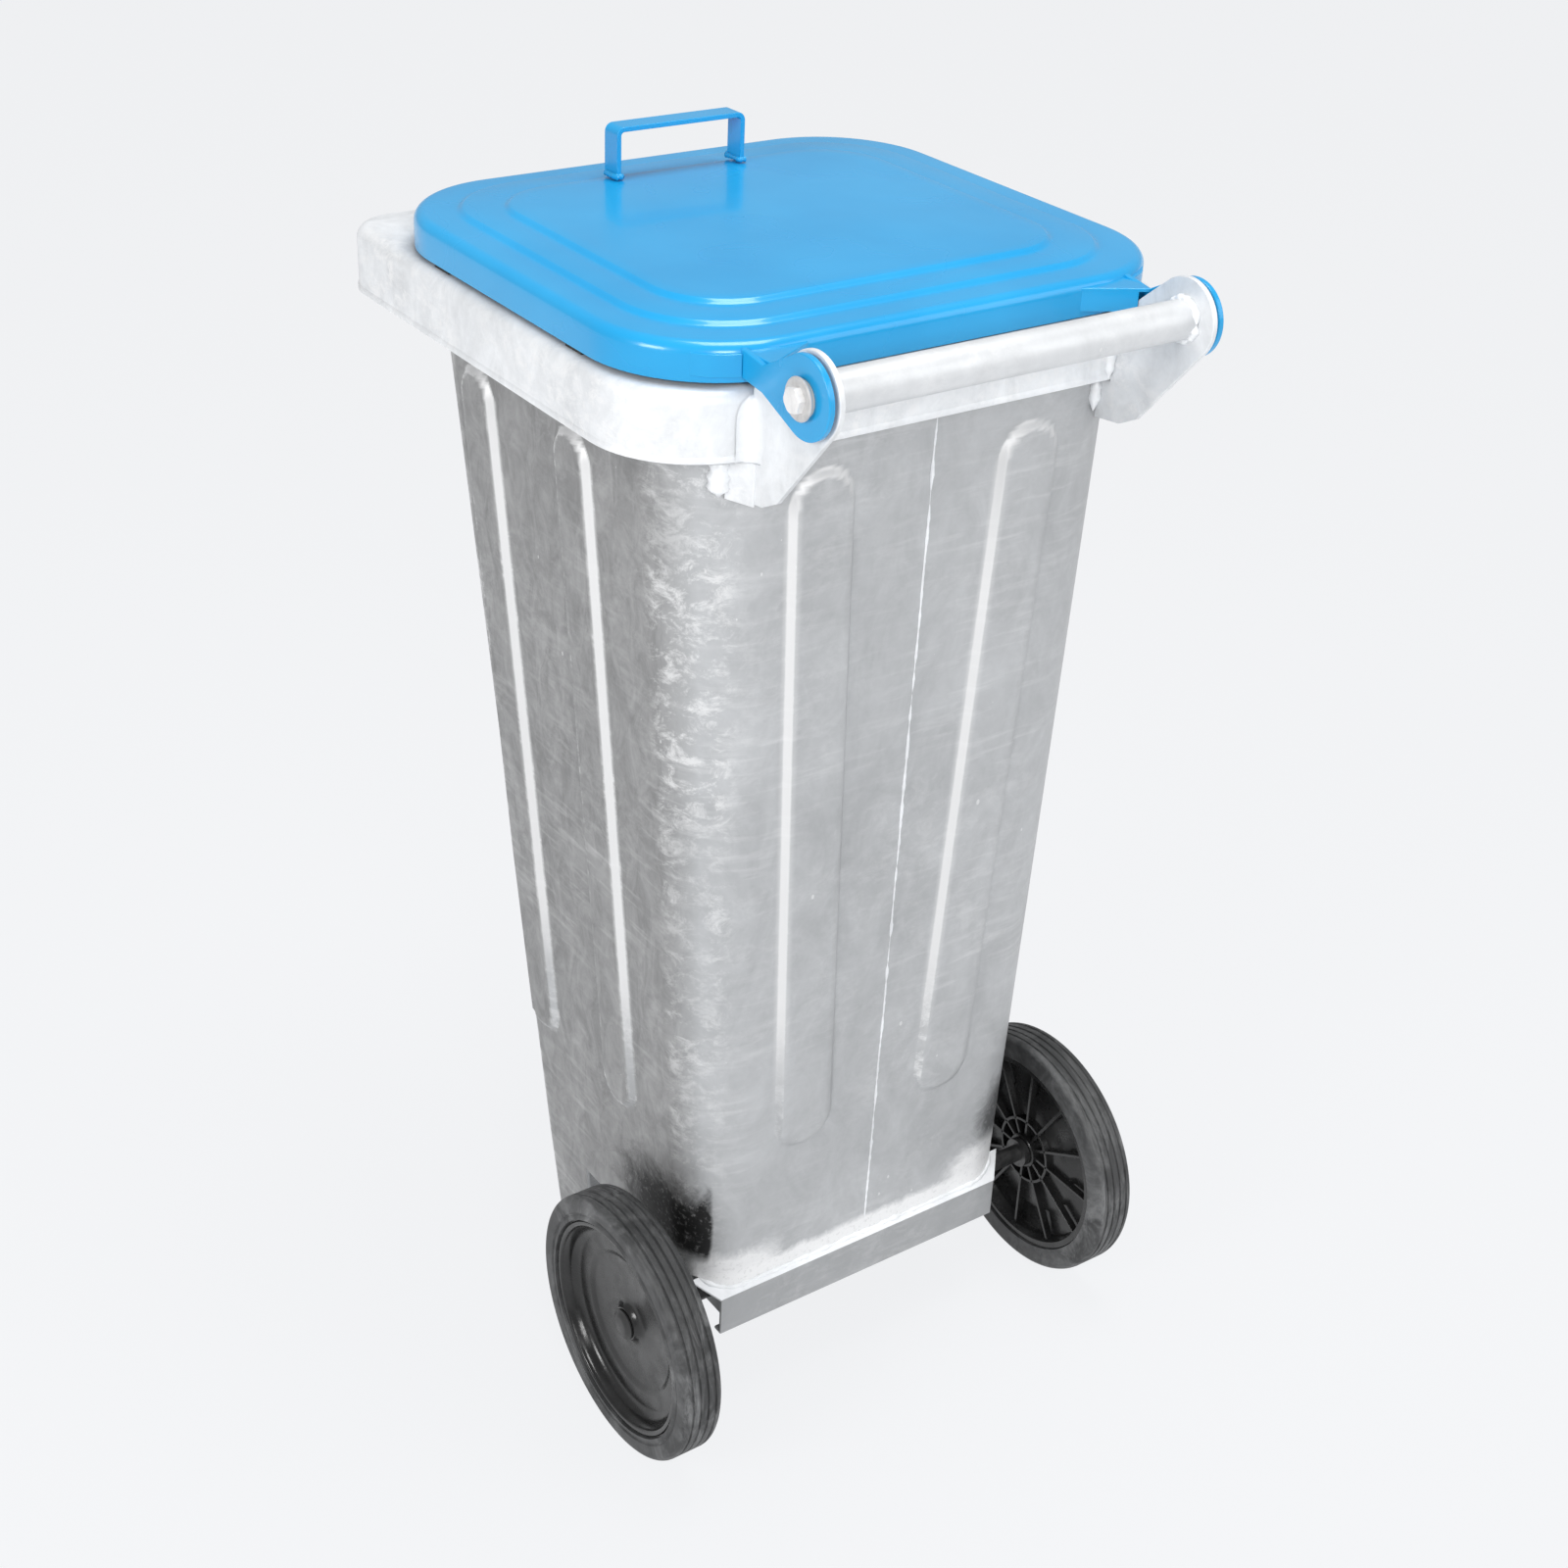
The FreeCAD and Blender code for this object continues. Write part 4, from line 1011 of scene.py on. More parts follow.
    def build(self) -> None:
        """Make the sheet and its seam weld, and dress the base pan."""
        skin = Skin("body_sheet")
        levels = self.heights()
        outer = [self.ring(height, 0.0) for height in levels]
        inner = [self.ring(height, self.wall) for height in reversed(levels)]
        skin.loft([points for points, painted_highlights in outer + inner], loop=True)
        # Share of painted highlight for each outer point, 0 on the inside.
        skin.painted_highlight = [painted_highlight for points, painted_highlights in outer for painted_highlight in painted_highlights]
        skin.painted_highlight += [0.0] * (len(skin.points) - len(skin.painted_highlight))
        sheet = skin.build(BODY_ZINC, sharp=60.0)
        hand_over(sheet, Rider.BIN, "galvanised_sheet", "body_shell")
        self.build_seam()
        dress_node("base_pan", FORMED_ZINC)

    def build_seam(self) -> None:
        """Make the thin weld down the middle of the rear wall."""
        path = []
        for step in range(self.seam_steps + 1):
            height = mix(self.bottom + 0.002, self.seam_top, step / self.seam_steps)
            sway = self.seam_sway * noise.noise(Vector((0.0, 0.0, height * 14.0)))
            path.append((self.seam_x + sway, self.plan(height).rear - 0.0001, height))
        bead = WeldBead("body_seam_weld", path, radius=0.0010, pitch=0.009, uneven=1.2, seed=3.0)
        hand_over(bead.build(SEAM_ZINC), Rider.BIN, "galvanised_sheet")


@dataclass
class FrontFoot:
    """The folded foot, comb ribs and axle saddles that keep their own solid shapes."""

    def build(self) -> None:
        """Dress the nodes."""
        dress_node("front_foot", BODY_ZINC)
        dress_node("comb_ribs", FORMED_ZINC)
        dress_node("axle_saddles", FORMED_ZINC)


# ---------------------------------------------------------------- rim


@dataclass
class RimFrame:
    """The pressed rim: a crown from the mouth to a soft fold, and a deep skirt."""

    outer: Plan = Plan(0.247, 0.291, 0.191, 0.042, 0.080)
    mouth: Plan = Plan(0.212, 0.223, 0.181, 0.054, 0.078)
    top: float = 0.978
    depth: float = 0.052
    wall: float = 0.002
    fold: float = 0.010
    fold_steps: int = 7
    mouth_soft: float = 0.0007
    lower_edge: tuple[Pair, ...] = ((0.0, 0.0055), (-0.0011, 0.0040), (-0.0011, 0.0008),
                                    (0.0002, 0.0), (0.0014, 0.0), (0.0020, 0.0006))

    def rows(self) -> list[list[Vector]]:
        """Give the rings from the mouth over the fold, down the skirt and back inside."""
        low, under = self.top - self.depth, self.top - self.wall
        rows = [self.mouth.path(under), self.mouth.path(self.top - self.mouth_soft),
                self.mouth.inset(-self.mouth_soft).path(self.top)]
        crown = self.outer.inset(self.fold)
        for share in (0.25, 0.5, 0.75, 1.0):
            rows.append(self.mouth.blend(crown, share).path(self.top))
        for step in range(1, self.fold_steps + 1):
            angle = QUARTER * step / self.fold_steps
            plan = self.outer.inset(self.fold * (1.0 - math.sin(angle)))
            rows.append(plan.path(self.top - self.fold * (1.0 - math.cos(angle))))
        for share in (0.3, 0.6, 0.9):
            rows.append(self.outer.path(mix(self.top - self.fold, low, share)))
        for inset, rise in self.lower_edge:
            rows.append(self.outer.inset(inset).path(low + rise))
        rows.append(self.outer.inset(self.wall).path(self.top - self.fold))
        tight = self.fold - self.wall
        for step in range(self.fold_steps, 0, -1):
            angle = QUARTER * step / self.fold_steps
            plan = self.outer.inset(self.fold - tight * math.sin(angle))
            rows.append(plan.path(self.top - self.fold + tight * math.cos(angle)))
        return rows + [crown.path(under)]

    def build(self) -> None:
        """Make the rim."""
        skin = Skin("rim_sheet")
        skin.loft(self.rows(), loop=True)
        hand_over(skin.build(RIM_ZINC, sharp=50.0), Rider.BIN, "galvanised_sheet", "rim_frame")


# ---------------------------------------------------------------- hinge and handle tube


@dataclass
class HingeSide:
    """One hinge: bracket with eye, bolt with washer, bush, plug and the bracket's welds."""

    side: Side
    inner: float = 0.162
    plate: float = 0.0045
    fillet: float = 0.013
    fillet_levels: tuple[Pair, ...] = ((0.0518, 1.0), (0.018, 1.0), (0.012, 0.85),
                                       (0.008, 0.60), (0.0055, 0.30), (0.0045, 0.05))
    eye: float = 0.031
    root: float = 0.1784
    skirt: float = 0.1914
    rim_under: float = 0.925
    toe: Pair = (0.224, 0.905)
    heel: Pair = (0.206, 0.8955)
    low: float = 0.892
    top: float = 0.978
    eye_steps: int = 30
    flange: tuple[Pair, ...] = ((-0.0005, 0.1975), (0.0010, 0.1975), (0.0100, 0.1745),
                                (0.0080, 0.1735), (-0.0005, 0.1915))
    washer_seat: float = 0.1764
    washer_depth: float = 0.0028
    washer_radius: float = 0.0152
    washer_bore: float = 0.0063
    washer_soft: float = 0.0010
    bolt_start: float = 0.1398
    bolt_radius: float = 0.006
    bolt_tip: float = 0.0052
    head_flat: float = 0.0085
    head_depth: float = 0.0050
    head_turn: float = math.radians(12.0)
    bolt_steps: int = 60

    def outline(self) -> list[Vector]:
        """Give the bracket's outline in the plane of its inner face."""
        corners = [(self.skirt, self.top), (self.skirt, self.rim_under),
                   (self.root, self.rim_under), (self.root, self.low), self.heel, self.toe]

        def touch(corner: Pair, turn: int) -> float:
            """Give the angle where a line from a corner touches the eye."""
            across, up = corner[0] - HINGE.y, corner[1] - HINGE.z
            return math.atan2(up, across) + turn * math.acos(self.eye / math.hypot(across, up))

        start, end = touch(corners[-1], 1), touch(corners[0], -1)
        if end < start:
            end += math.tau
        eye = arc((HINGE.y, HINGE.z), self.eye, start, end, self.eye_steps)
        return [Vector((self.inner * self.side.value, y, z)) for y, z in corners + eye]

    def build_bracket(self) -> None:
        """Make the bracket plate, the flange at its root and the bend at the rim."""
        word, sign = self.side.word, self.side.value
        skin = Skin(f"bracket_plate_{word}")
        skin.prism(self.outline(), Vector((self.plate * sign, 0, 0)))
        plate = skin.build(BRACKET_ZINC, bevel=0.0009)
        hand_over(plate, Rider.BIN, "galvanised_sheet", f"hinge_bracket_{word}")
        self.build_fillet()
        face = self.inner + self.plate
        flange = Skin(f"bracket_flange_{word}")
        flange.prism([Vector(((face + out) * sign, y, self.low + 0.0006))
                      for out, y in self.flange],
                     Vector((0, 0, self.rim_under - self.low - 0.0004)))
        hand_over(flange.build(BRACKET_ZINC, bevel=0.0012), Rider.BIN, "galvanised_sheet")

    def build_welds(self) -> None:
        """Make the upright welds that hold the bracket."""
        word, sign = self.side.word, self.side.value
        face = self.inner + self.plate
        beads = (
            ("outer", face + 0.0125, 0.1710, self.rim_under + 0.0015, self.low + 0.001, 0.0072),
            ("inner", self.inner - 0.0030, 0.1800, self.rim_under + 0.0010, self.low + 0.006,
             0.0042),
            ("rim", self.inner - 0.0025, self.skirt + 0.0010, self.rim_under + 0.003,
             self.top - 0.010, 0.0034),
        )
        for number, (place, x, y, start, end, radius) in enumerate(beads):
            path = [(x * sign, y, start), (x * sign, y, end)]
            bead = WeldBead(f"bracket_{place}_weld_{word}", path, radius=radius, pitch=0.0085,
                            uneven=0.6, seed=number * 4.0 + sign * 5.0)
            hand_over(bead.build(), Rider.BIN, "galvanised_sheet")

    def build_fillet(self) -> None:
        """Make the smooth hollow bend between the rim's skirt and the bracket."""
        face = self.inner + self.plate
        rows = []
        for depth, share in self.fillet_levels:
            size = self.fillet * share
            ring = [(face - 0.001, self.skirt - 0.001)]
            ring += arc((face + size, self.skirt + size), size, -QUARTER, -math.pi, 12)
            rows.append([Vector((x * self.side.value, y, self.top - depth)) for x, y in ring])
        skin = Skin(f"bracket_bend_{self.side.word}")
        skin.loft(rows, capped=True)
        hand_over(skin.build(RIM_ZINC, sharp=60.0), Rider.BIN, "galvanised_sheet")

    def build_washer(self) -> None:
        """Make the washer under the bolt's head."""
        start, radius, soft = self.washer_seat, self.washer_radius, self.washer_soft
        end = start + self.washer_depth
        skin = Skin(f"bolt_washer_{self.side.word}")
        skin.turn([(start, self.washer_bore), (start, radius - soft), (start + soft, radius),
                   (end - soft, radius), (end, radius - soft), (end, self.washer_bore)],
                  HINGE, self.side.value, 64)
        hand_over(skin.build(WASHER_ZINC), Rider.BIN, "zinc_plate",
                  f"pivot_washer_{self.side.word}")

    def build_bolt(self) -> None:
        """Make the hexagon bolt, with its head turned a little and its corners eased."""
        start, head_start = self.bolt_start, self.washer_seat + self.washer_depth
        head_end = head_start + self.head_depth
        sector = math.pi / 3
        corner = self.head_flat / math.cos(sector / 2)
        levels = ((start, self.bolt_tip, False), (start + 0.001, self.bolt_radius, False),
                  (head_start, self.bolt_radius, False), (head_start, corner, True),
                  (head_end - 0.0013, corner, True), (head_end - 0.0004, 0.00895, True),
                  (head_end, 0.0078, False))
        rings = []
        for x, radius, hexagon in levels:
            ring = []
            for step in range(self.bolt_steps):
                angle = math.tau * step / self.bolt_steps
                within = (angle - self.head_turn + sector / 2) % sector - sector / 2
                flat = self.head_flat / math.cos(sector / 2 - abs(within))
                reach = min(flat, radius) if hexagon else radius
                ring.append(Vector((x * self.side.value, HINGE.y + reach * math.cos(angle),
                                    HINGE.z + reach * math.sin(angle))))
            rings.append(ring)
        skin = Skin(f"hexagon_bolt_{self.side.word}")
        skin.loft(rings, capped=True)
        hand_over(skin.build(BOLT_ZINC, sharp=25.0), Rider.BIN, "zinc_plate",
                  f"pivot_bolt_{self.side.word}")

    def build(self) -> None:
        """Make the bracket and bolt, and dress the pieces inside the hinge."""
        self.build_bracket()
        self.build_welds()
        self.build_washer()
        self.build_bolt()
        word = self.side.word
        dress_node(f"tube_plug_{word}", BLACK_PLASTIC)
        for name in ("thrust_washer", "pivot_bush"):
            dress_node(f"{name}_{word}", NYLON)


@dataclass
class HandleTube:
    """The tube between the brackets, with a ring of weld at each end."""

    radius: float = 0.015
    bore: float = 0.013
    half: float = 0.1618
    soft: float = 0.0005
    rings: int = 12
    weld_steps: int = 32

    def build(self) -> None:
        """Make the tube and its welds."""
        straight = self.half - self.soft
        rim = self.radius - self.soft
        profile = [(-self.half, rim)]
        profile += [(mix(-straight, straight, step / self.rings), self.radius)
                    for step in range(self.rings + 1)]
        profile += [(self.half, rim), (self.half, self.bore), (-self.half, self.bore)]
        skin = Skin("handle_tube_sheet")
        skin.turn(profile, HINGE, 1, 72)
        hand_over(skin.build(TUBE_ZINC), Rider.BIN, "galvanised_tube", "handle_tube")
        circle = arc((HINGE.y, HINGE.z), self.radius + 0.0003, 0.0, math.tau, self.weld_steps)
        for side in Side:
            path = [(side.value * (self.half - 0.0012), y, z) for y, z in circle]
            bead = WeldBead(f"tube_weld_{side.word}", path, radius=0.0026, pitch=0.007,
                            uneven=0.7, seed=side.value * 2.0)
            hand_over(bead.build(), Rider.BIN, "galvanised_tube")


# ---------------------------------------------------------------- lid


@dataclass
class LidSheet:
    """The pressed lid: skirt, soft shoulder, two raised steps and a slightly domed middle."""

    outer: Plan = Plan(0.239, 0.246, 0.192, 0.098, 0.098)
    bottom: float = 0.981
    skirt: float = 0.028
    wall: float = 0.002
    fold: float = 0.009
    step_rise: float = 0.0034
    step_inset: float = 0.032
    step_corner: float = 0.020
    step_run: float = 0.0062
    step_lead: float = 1.1
    edge_soft: float = 0.0006
    dome: float = 0.0015
    fold_steps: int = 8

    def step_plan(self, number: int, inset: float) -> Plan:
        """Give the plan that lies a distance inside the edge of a step."""
        edge = self.outer.inset(self.step_inset * number, self.step_corner * number)
        return edge.inset(inset)

    def face_rows(self, drop: float) -> list[list[Vector]]:
        """Give the rings of one face from the skirt's edge to the middle.

        Args:
            drop: distance of this face inside the outer one.

        Returns:
            The rings.
        """
        steps = dict(corner_steps=18, side_steps=10)
        rows = []
        shoulder = self.bottom + self.skirt
        edge = self.outer.inset(drop)
        radius = self.fold - drop
        for share in (0.0, 0.35, 0.7, 1.0):
            height = mix(self.bottom + self.edge_soft, shoulder - self.fold, share)
            rows.append(edge.path(height, **steps))
        for step in range(1, self.fold_steps + 1):
            angle = math.pi / 2 * step / self.fold_steps
            plan = self.outer.inset(self.fold - radius * math.cos(angle))
            rows.append(plan.path(shoulder - self.fold + radius * math.sin(angle), **steps))
        level = shoulder - drop
        for number in (1, 2):
            rows.append(self.step_plan(number, -self.step_run * self.step_lead).path(level, **steps))
            for step in range(9):
                share = step / 8
                plan = self.step_plan(number, self.step_run * (share - 0.5))
                rows.append(plan.path(level + self.step_rise * smooth_step(share), **steps))
            level += self.step_rise
        middle = self.step_plan(2, self.step_run)
        for share in (0.96, 0.85, 0.7, 0.5, 0.3, 0.12, 0.03):
            rise = self.dome * (1.0 - share * share)
            rows.append(middle.scaled(share).path(level + rise, **steps))
        return rows

    def build_sheet(self) -> None:
        """Make the pressed sheet."""
        skin = Skin("lid_sheet")
        outer = self.face_rows(0.0)
        inner = self.face_rows(self.wall)
        made = skin.loft(list(reversed(outer)) + inner)
        skin.cap(made[0])
        skin.cap(made[-1])
        hand_over(skin.build(LID_PAINT, sharp=55.0), Rider.LID, "lid_paint", "lid_pan")
        dress_node("lid_buffers", BUFFER_RUBBER)

    def build(self) -> None:
        """Make the lid and everything that is welded to it."""
        self.build_sheet()
        LidHandle().build()
        for side in Side:
            LidArm(side).build()


@dataclass
class LidHandle:
    """The flat bar bent to a U and welded on the lid near its front edge."""

    half: float = 0.061
    bar: float = 0.004
    depth: float = 0.020
    place: float = -0.175
    foot: float = 1.0186
    top: float = 1.058
    bend: float = 0.007
    bend_steps: int = 7

    def outline(self) -> list[Vector]:
        """Give the bar's edge outline on its front side."""
        def bow(inset: float) -> list[Vector]:
            """Give one edge of the bar from foot to foot, with its two bends."""
            across, up = self.half - self.bend, self.top - self.bend
            radius, reach = self.bend - inset, self.half - inset
            points = [(reach, self.foot)]
            points += arc((across, up), radius, 0.0, QUARTER, self.bend_steps)
            points += arc((-across, up), radius, QUARTER, math.pi, self.bend_steps)
            points.append((-reach, self.foot))
            return [Vector((x, self.place - self.depth / 2, z)) for x, z in points]

        return bow(0.0) + list(reversed(bow(self.bar)))

    def build(self) -> None:
        """Make the bar and the weld round each of its feet."""
        skin = Skin("lid_handle_bar")
        outline = self.outline()
        low = skin.ring(outline)
        high = skin.ring([point + Vector((0, self.depth, 0)) for point in outline])
        skin.bridge(low, high)
        count = len(outline)
        for ring in (low, high):
            for number in range(count // 2 - 1):
                skin.faces.append((ring[number], ring[number + 1], ring[count - 2 - number],
                                   ring[count - 1 - number]))
        bar = skin.build(LID_PAINT, bevel=0.0006, segments=2)
        hand_over(bar, Rider.LID, "lid_paint", "lid_handle")
        for side in Side:
            outer, inner = self.half + 0.0006, self.half - self.bar - 0.0006
            rear, front = self.place + self.depth / 2, self.place - self.depth / 2
            corners = ((outer, front), (outer, rear), (inner, rear), (inner, front),
                       (outer, front))
            path = [(side.value * x, y, self.foot + 0.0006) for x, y in corners]
            bead = WeldBead(f"handle_weld_{side.word}", path, radius=0.0022, seed=side.value * 7.0)
            hand_over(bead.build(LID_PAINT), Rider.LID, "lid_paint")


@dataclass
class LidArm:
    """One arm: the round ear on the hinge, its strap to the lid's corner and the flat gusset."""

    side: Side
    inner: float = 0.169
    plate: float = 0.005
    ear: float = 0.0295
    hole: float = 0.010
    front: float = 0.1855
    neck: float = 0.212
    low: float = 0.9855
    high: float = 1.006
    neck_low: float = 0.9825
    neck_high: float = 1.002
    waist: float = 0.0103
    rise: float = 0.0274
    gusset_high: float = 1.004
    gusset_low: float = 0.986
    gusset_plate: float = 0.003
    gusset_run: float = 0.046
    gusset_reach: float = 0.025
    skirt: float = 0.192
    brace_outer: float = 0.1613
    lid_corner: float = 0.098
    lid_half: float = 0.239
    skirt_lap: float = 0.0018
    ear_steps: int = 48
    wrap_angles: Pair = (50.0, 70.5)
    wrap_thick: float = 0.0022
    wrap_lap: float = 0.001
    wrap_steps: int = 14

    def outline(self) -> list[Vector]:
        """Give the outline of ear and strap in the plane of the arm's inner face."""
        start = math.atan2(-self.rise, -self.waist)
        end = math.atan2(self.rise, -self.waist)
        points = [(self.neck, self.neck_high), (self.front, self.high),
                  (self.front, self.low), (self.neck, self.neck_low)]
        points += arc((HINGE.y, HINGE.z), self.ear, start, end, self.ear_steps)
        return [Vector((self.inner * self.side.value, y, z)) for y, z in points]

    def build(self) -> None:
        """Make the arm's plate, gusset, brace and wrapped end."""
        word, sign = self.side.word, self.side.value
        skin = Skin(f"lid_arm_plate_{word}")
        skin.prism(self.outline(), Vector((self.plate * sign, 0, 0)))
        plate = skin.build(LID_PAINT, bevel=0.0011)
        hand_over(plate, Rider.LID, "lid_paint", f"lid_arm_{word}")
        self.build_gusset()
        self.build_wrap()

    def lid_edge(self, x: float) -> float:
        """Give the y inside the lid's skirt at a distance from the middle plane."""
        past = max(0.0, x - (self.lid_half - self.lid_corner))
        reach = math.sqrt(self.lid_corner ** 2 - past ** 2)
        return self.skirt - self.lid_corner + reach - self.skirt_lap

    def build_gusset(self) -> None:
        """Make the flat gusset over the bracket and the brace that stands below it."""
        word, sign = self.side.word, self.side.value
        edge, tip = self.inner + 0.001, self.inner - self.gusset_run
        slope = self.gusset_reach / self.gusset_run
        under = self.gusset_high - self.gusset_plate / 2
        parts = (("gusset", edge, self.gusset_high, self.gusset_plate),
                 ("brace", self.brace_outer, under, under - self.gusset_low))
        for name, outer, high, depth in parts:
            skin = Skin(f"lid_{name}_{word}")
            front = [(mix(tip, outer, step / 8), self.lid_edge(mix(tip, outer, step / 8)))
                     for step in range(9)]
            rear = [(outer, self.skirt + (outer - tip) * slope), (tip, self.skirt)]
            outline = [Vector((x * sign, y, high)) for x, y in front + rear]
            skin.prism(outline, Vector((0, 0, -depth)))
            hand_over(skin.build(LID_PAINT, bevel=0.0012), Rider.LID, "lid_paint")

    def build_wrap(self) -> None:
        """Make the strap's end, which is wrapped round the skirt's corner and welded down."""
        sign = self.side.value
        centre = Vector((self.lid_half - self.lid_corner, self.skirt - self.lid_corner))
        rows = []
        low, high, lap = self.low + 0.0005, self.gusset_high - 0.0015, -self.wrap_lap
        for step in range(self.wrap_steps + 1):
            share = step / self.wrap_steps
            angle = math.radians(mix(*self.wrap_angles, share))
            out = Vector((math.cos(angle), math.sin(angle)))
            thick = 0.0002 + self.wrap_thick * smooth_step(share * 2.2)
            ring = []
            for radius, height in ((lap, low), (thick, low), (thick, high), (lap, high)):
                place = centre + out * (self.lid_corner + radius)
                ring.append(Vector((place.x * sign, place.y, height)))
            rows.append(ring)
        skin = Skin(f"lid_strap_end_{self.side.word}")
        skin.loft(rows, capped=True)
        hand_over(skin.build(LID_PAINT, bevel=0.0008), Rider.LID, "lid_paint")


# ---------------------------------------------------------------- axle channel


@dataclass
class AxleChannel:
    """The folded channel under the rear edge, its sloping ledge and the weld to the body."""

    half: float = 0.153
    ledge_half: float = 0.172
    rear: float = 0.172
    front: float = 0.112
    sheet: float = 0.003
    low: float = 0.091
    fold: float = 0.131
    deck: float = 0.1457
    deck_back: float = 0.150
    apron: float = 0.100
    lip: float = 0.010
    ledge_sheet: Point = (0.0, -0.0012, -0.0024)
    ledge_lift: Point = (0.0, 0.0002, 0.0003)

    def section(self) -> list[tuple[float, float]]:
        """Give the folded sheet's section as (y, z) points."""
        thick = self.sheet
        return [(self.rear, self.low), (self.rear, self.fold), (self.deck_back, self.deck),
                (self.front, self.deck), (self.front, self.apron),
                (self.front + thick, self.apron), (self.front + thick, self.deck - thick),
                (self.deck_back - 0.001, self.deck - thick),
                (self.rear - thick, self.fold - thick / 2), (self.rear - thick, self.low + thick),
                (self.rear - self.lip, self.low + thick), (self.rear - self.lip, self.low)]

    def build(self) -> None:
        """Make the channel, the ledge's wings and the weld along the body."""
        skin = Skin("channel_sheet")
        outline = [Vector((-self.half, y, z)) for y, z in self.section()]
        skin.prism(outline, Vector((self.half * 2, 0, 0)))
        sheet = skin.build(FORMED_ZINC, bevel=0.0012)
        hand_over(sheet, Rider.BIN, "galvanised_sheet", "axle_channel")
        ledge = Skin("channel_ledge")
        corners = [(-self.half, self.rear, self.fold), (self.half, self.rear, self.fold),
                   (self.ledge_half, self.deck_back, self.deck),
                   (-self.ledge_half, self.deck_back, self.deck)]
        outline = [Vector(corner) + Vector(self.ledge_lift) for corner in corners]
        ledge.prism(outline, Vector(self.ledge_sheet))
        hand_over(ledge.build(WELD_ZINC, bevel=0.0006), Rider.BIN, "galvanised_sheet")
        body = BodySheet()
        outline = [point for point in body.plan(body.bottom).path(0.0, side_steps=40)
                   if point.y > self.deck_back - 0.004]
        path = []
        for point in sorted(outline, key=lambda point: point.x):
            droop = 0.0007 * noise.noise(Vector((point.x * 30.0, 0.0, 0.0)))
            path.append((point.x, point.y + 0.0004, body.foot_height(point.y) + droop))
        bead = WeldBead("channel_body_weld", path, radius=0.0019, pitch=0.011, uneven=0.9, seed=9.0)
        hand_over(bead.build(), Rider.BIN, "galvanised_sheet")


# ---------------------------------------------------------------- wheels


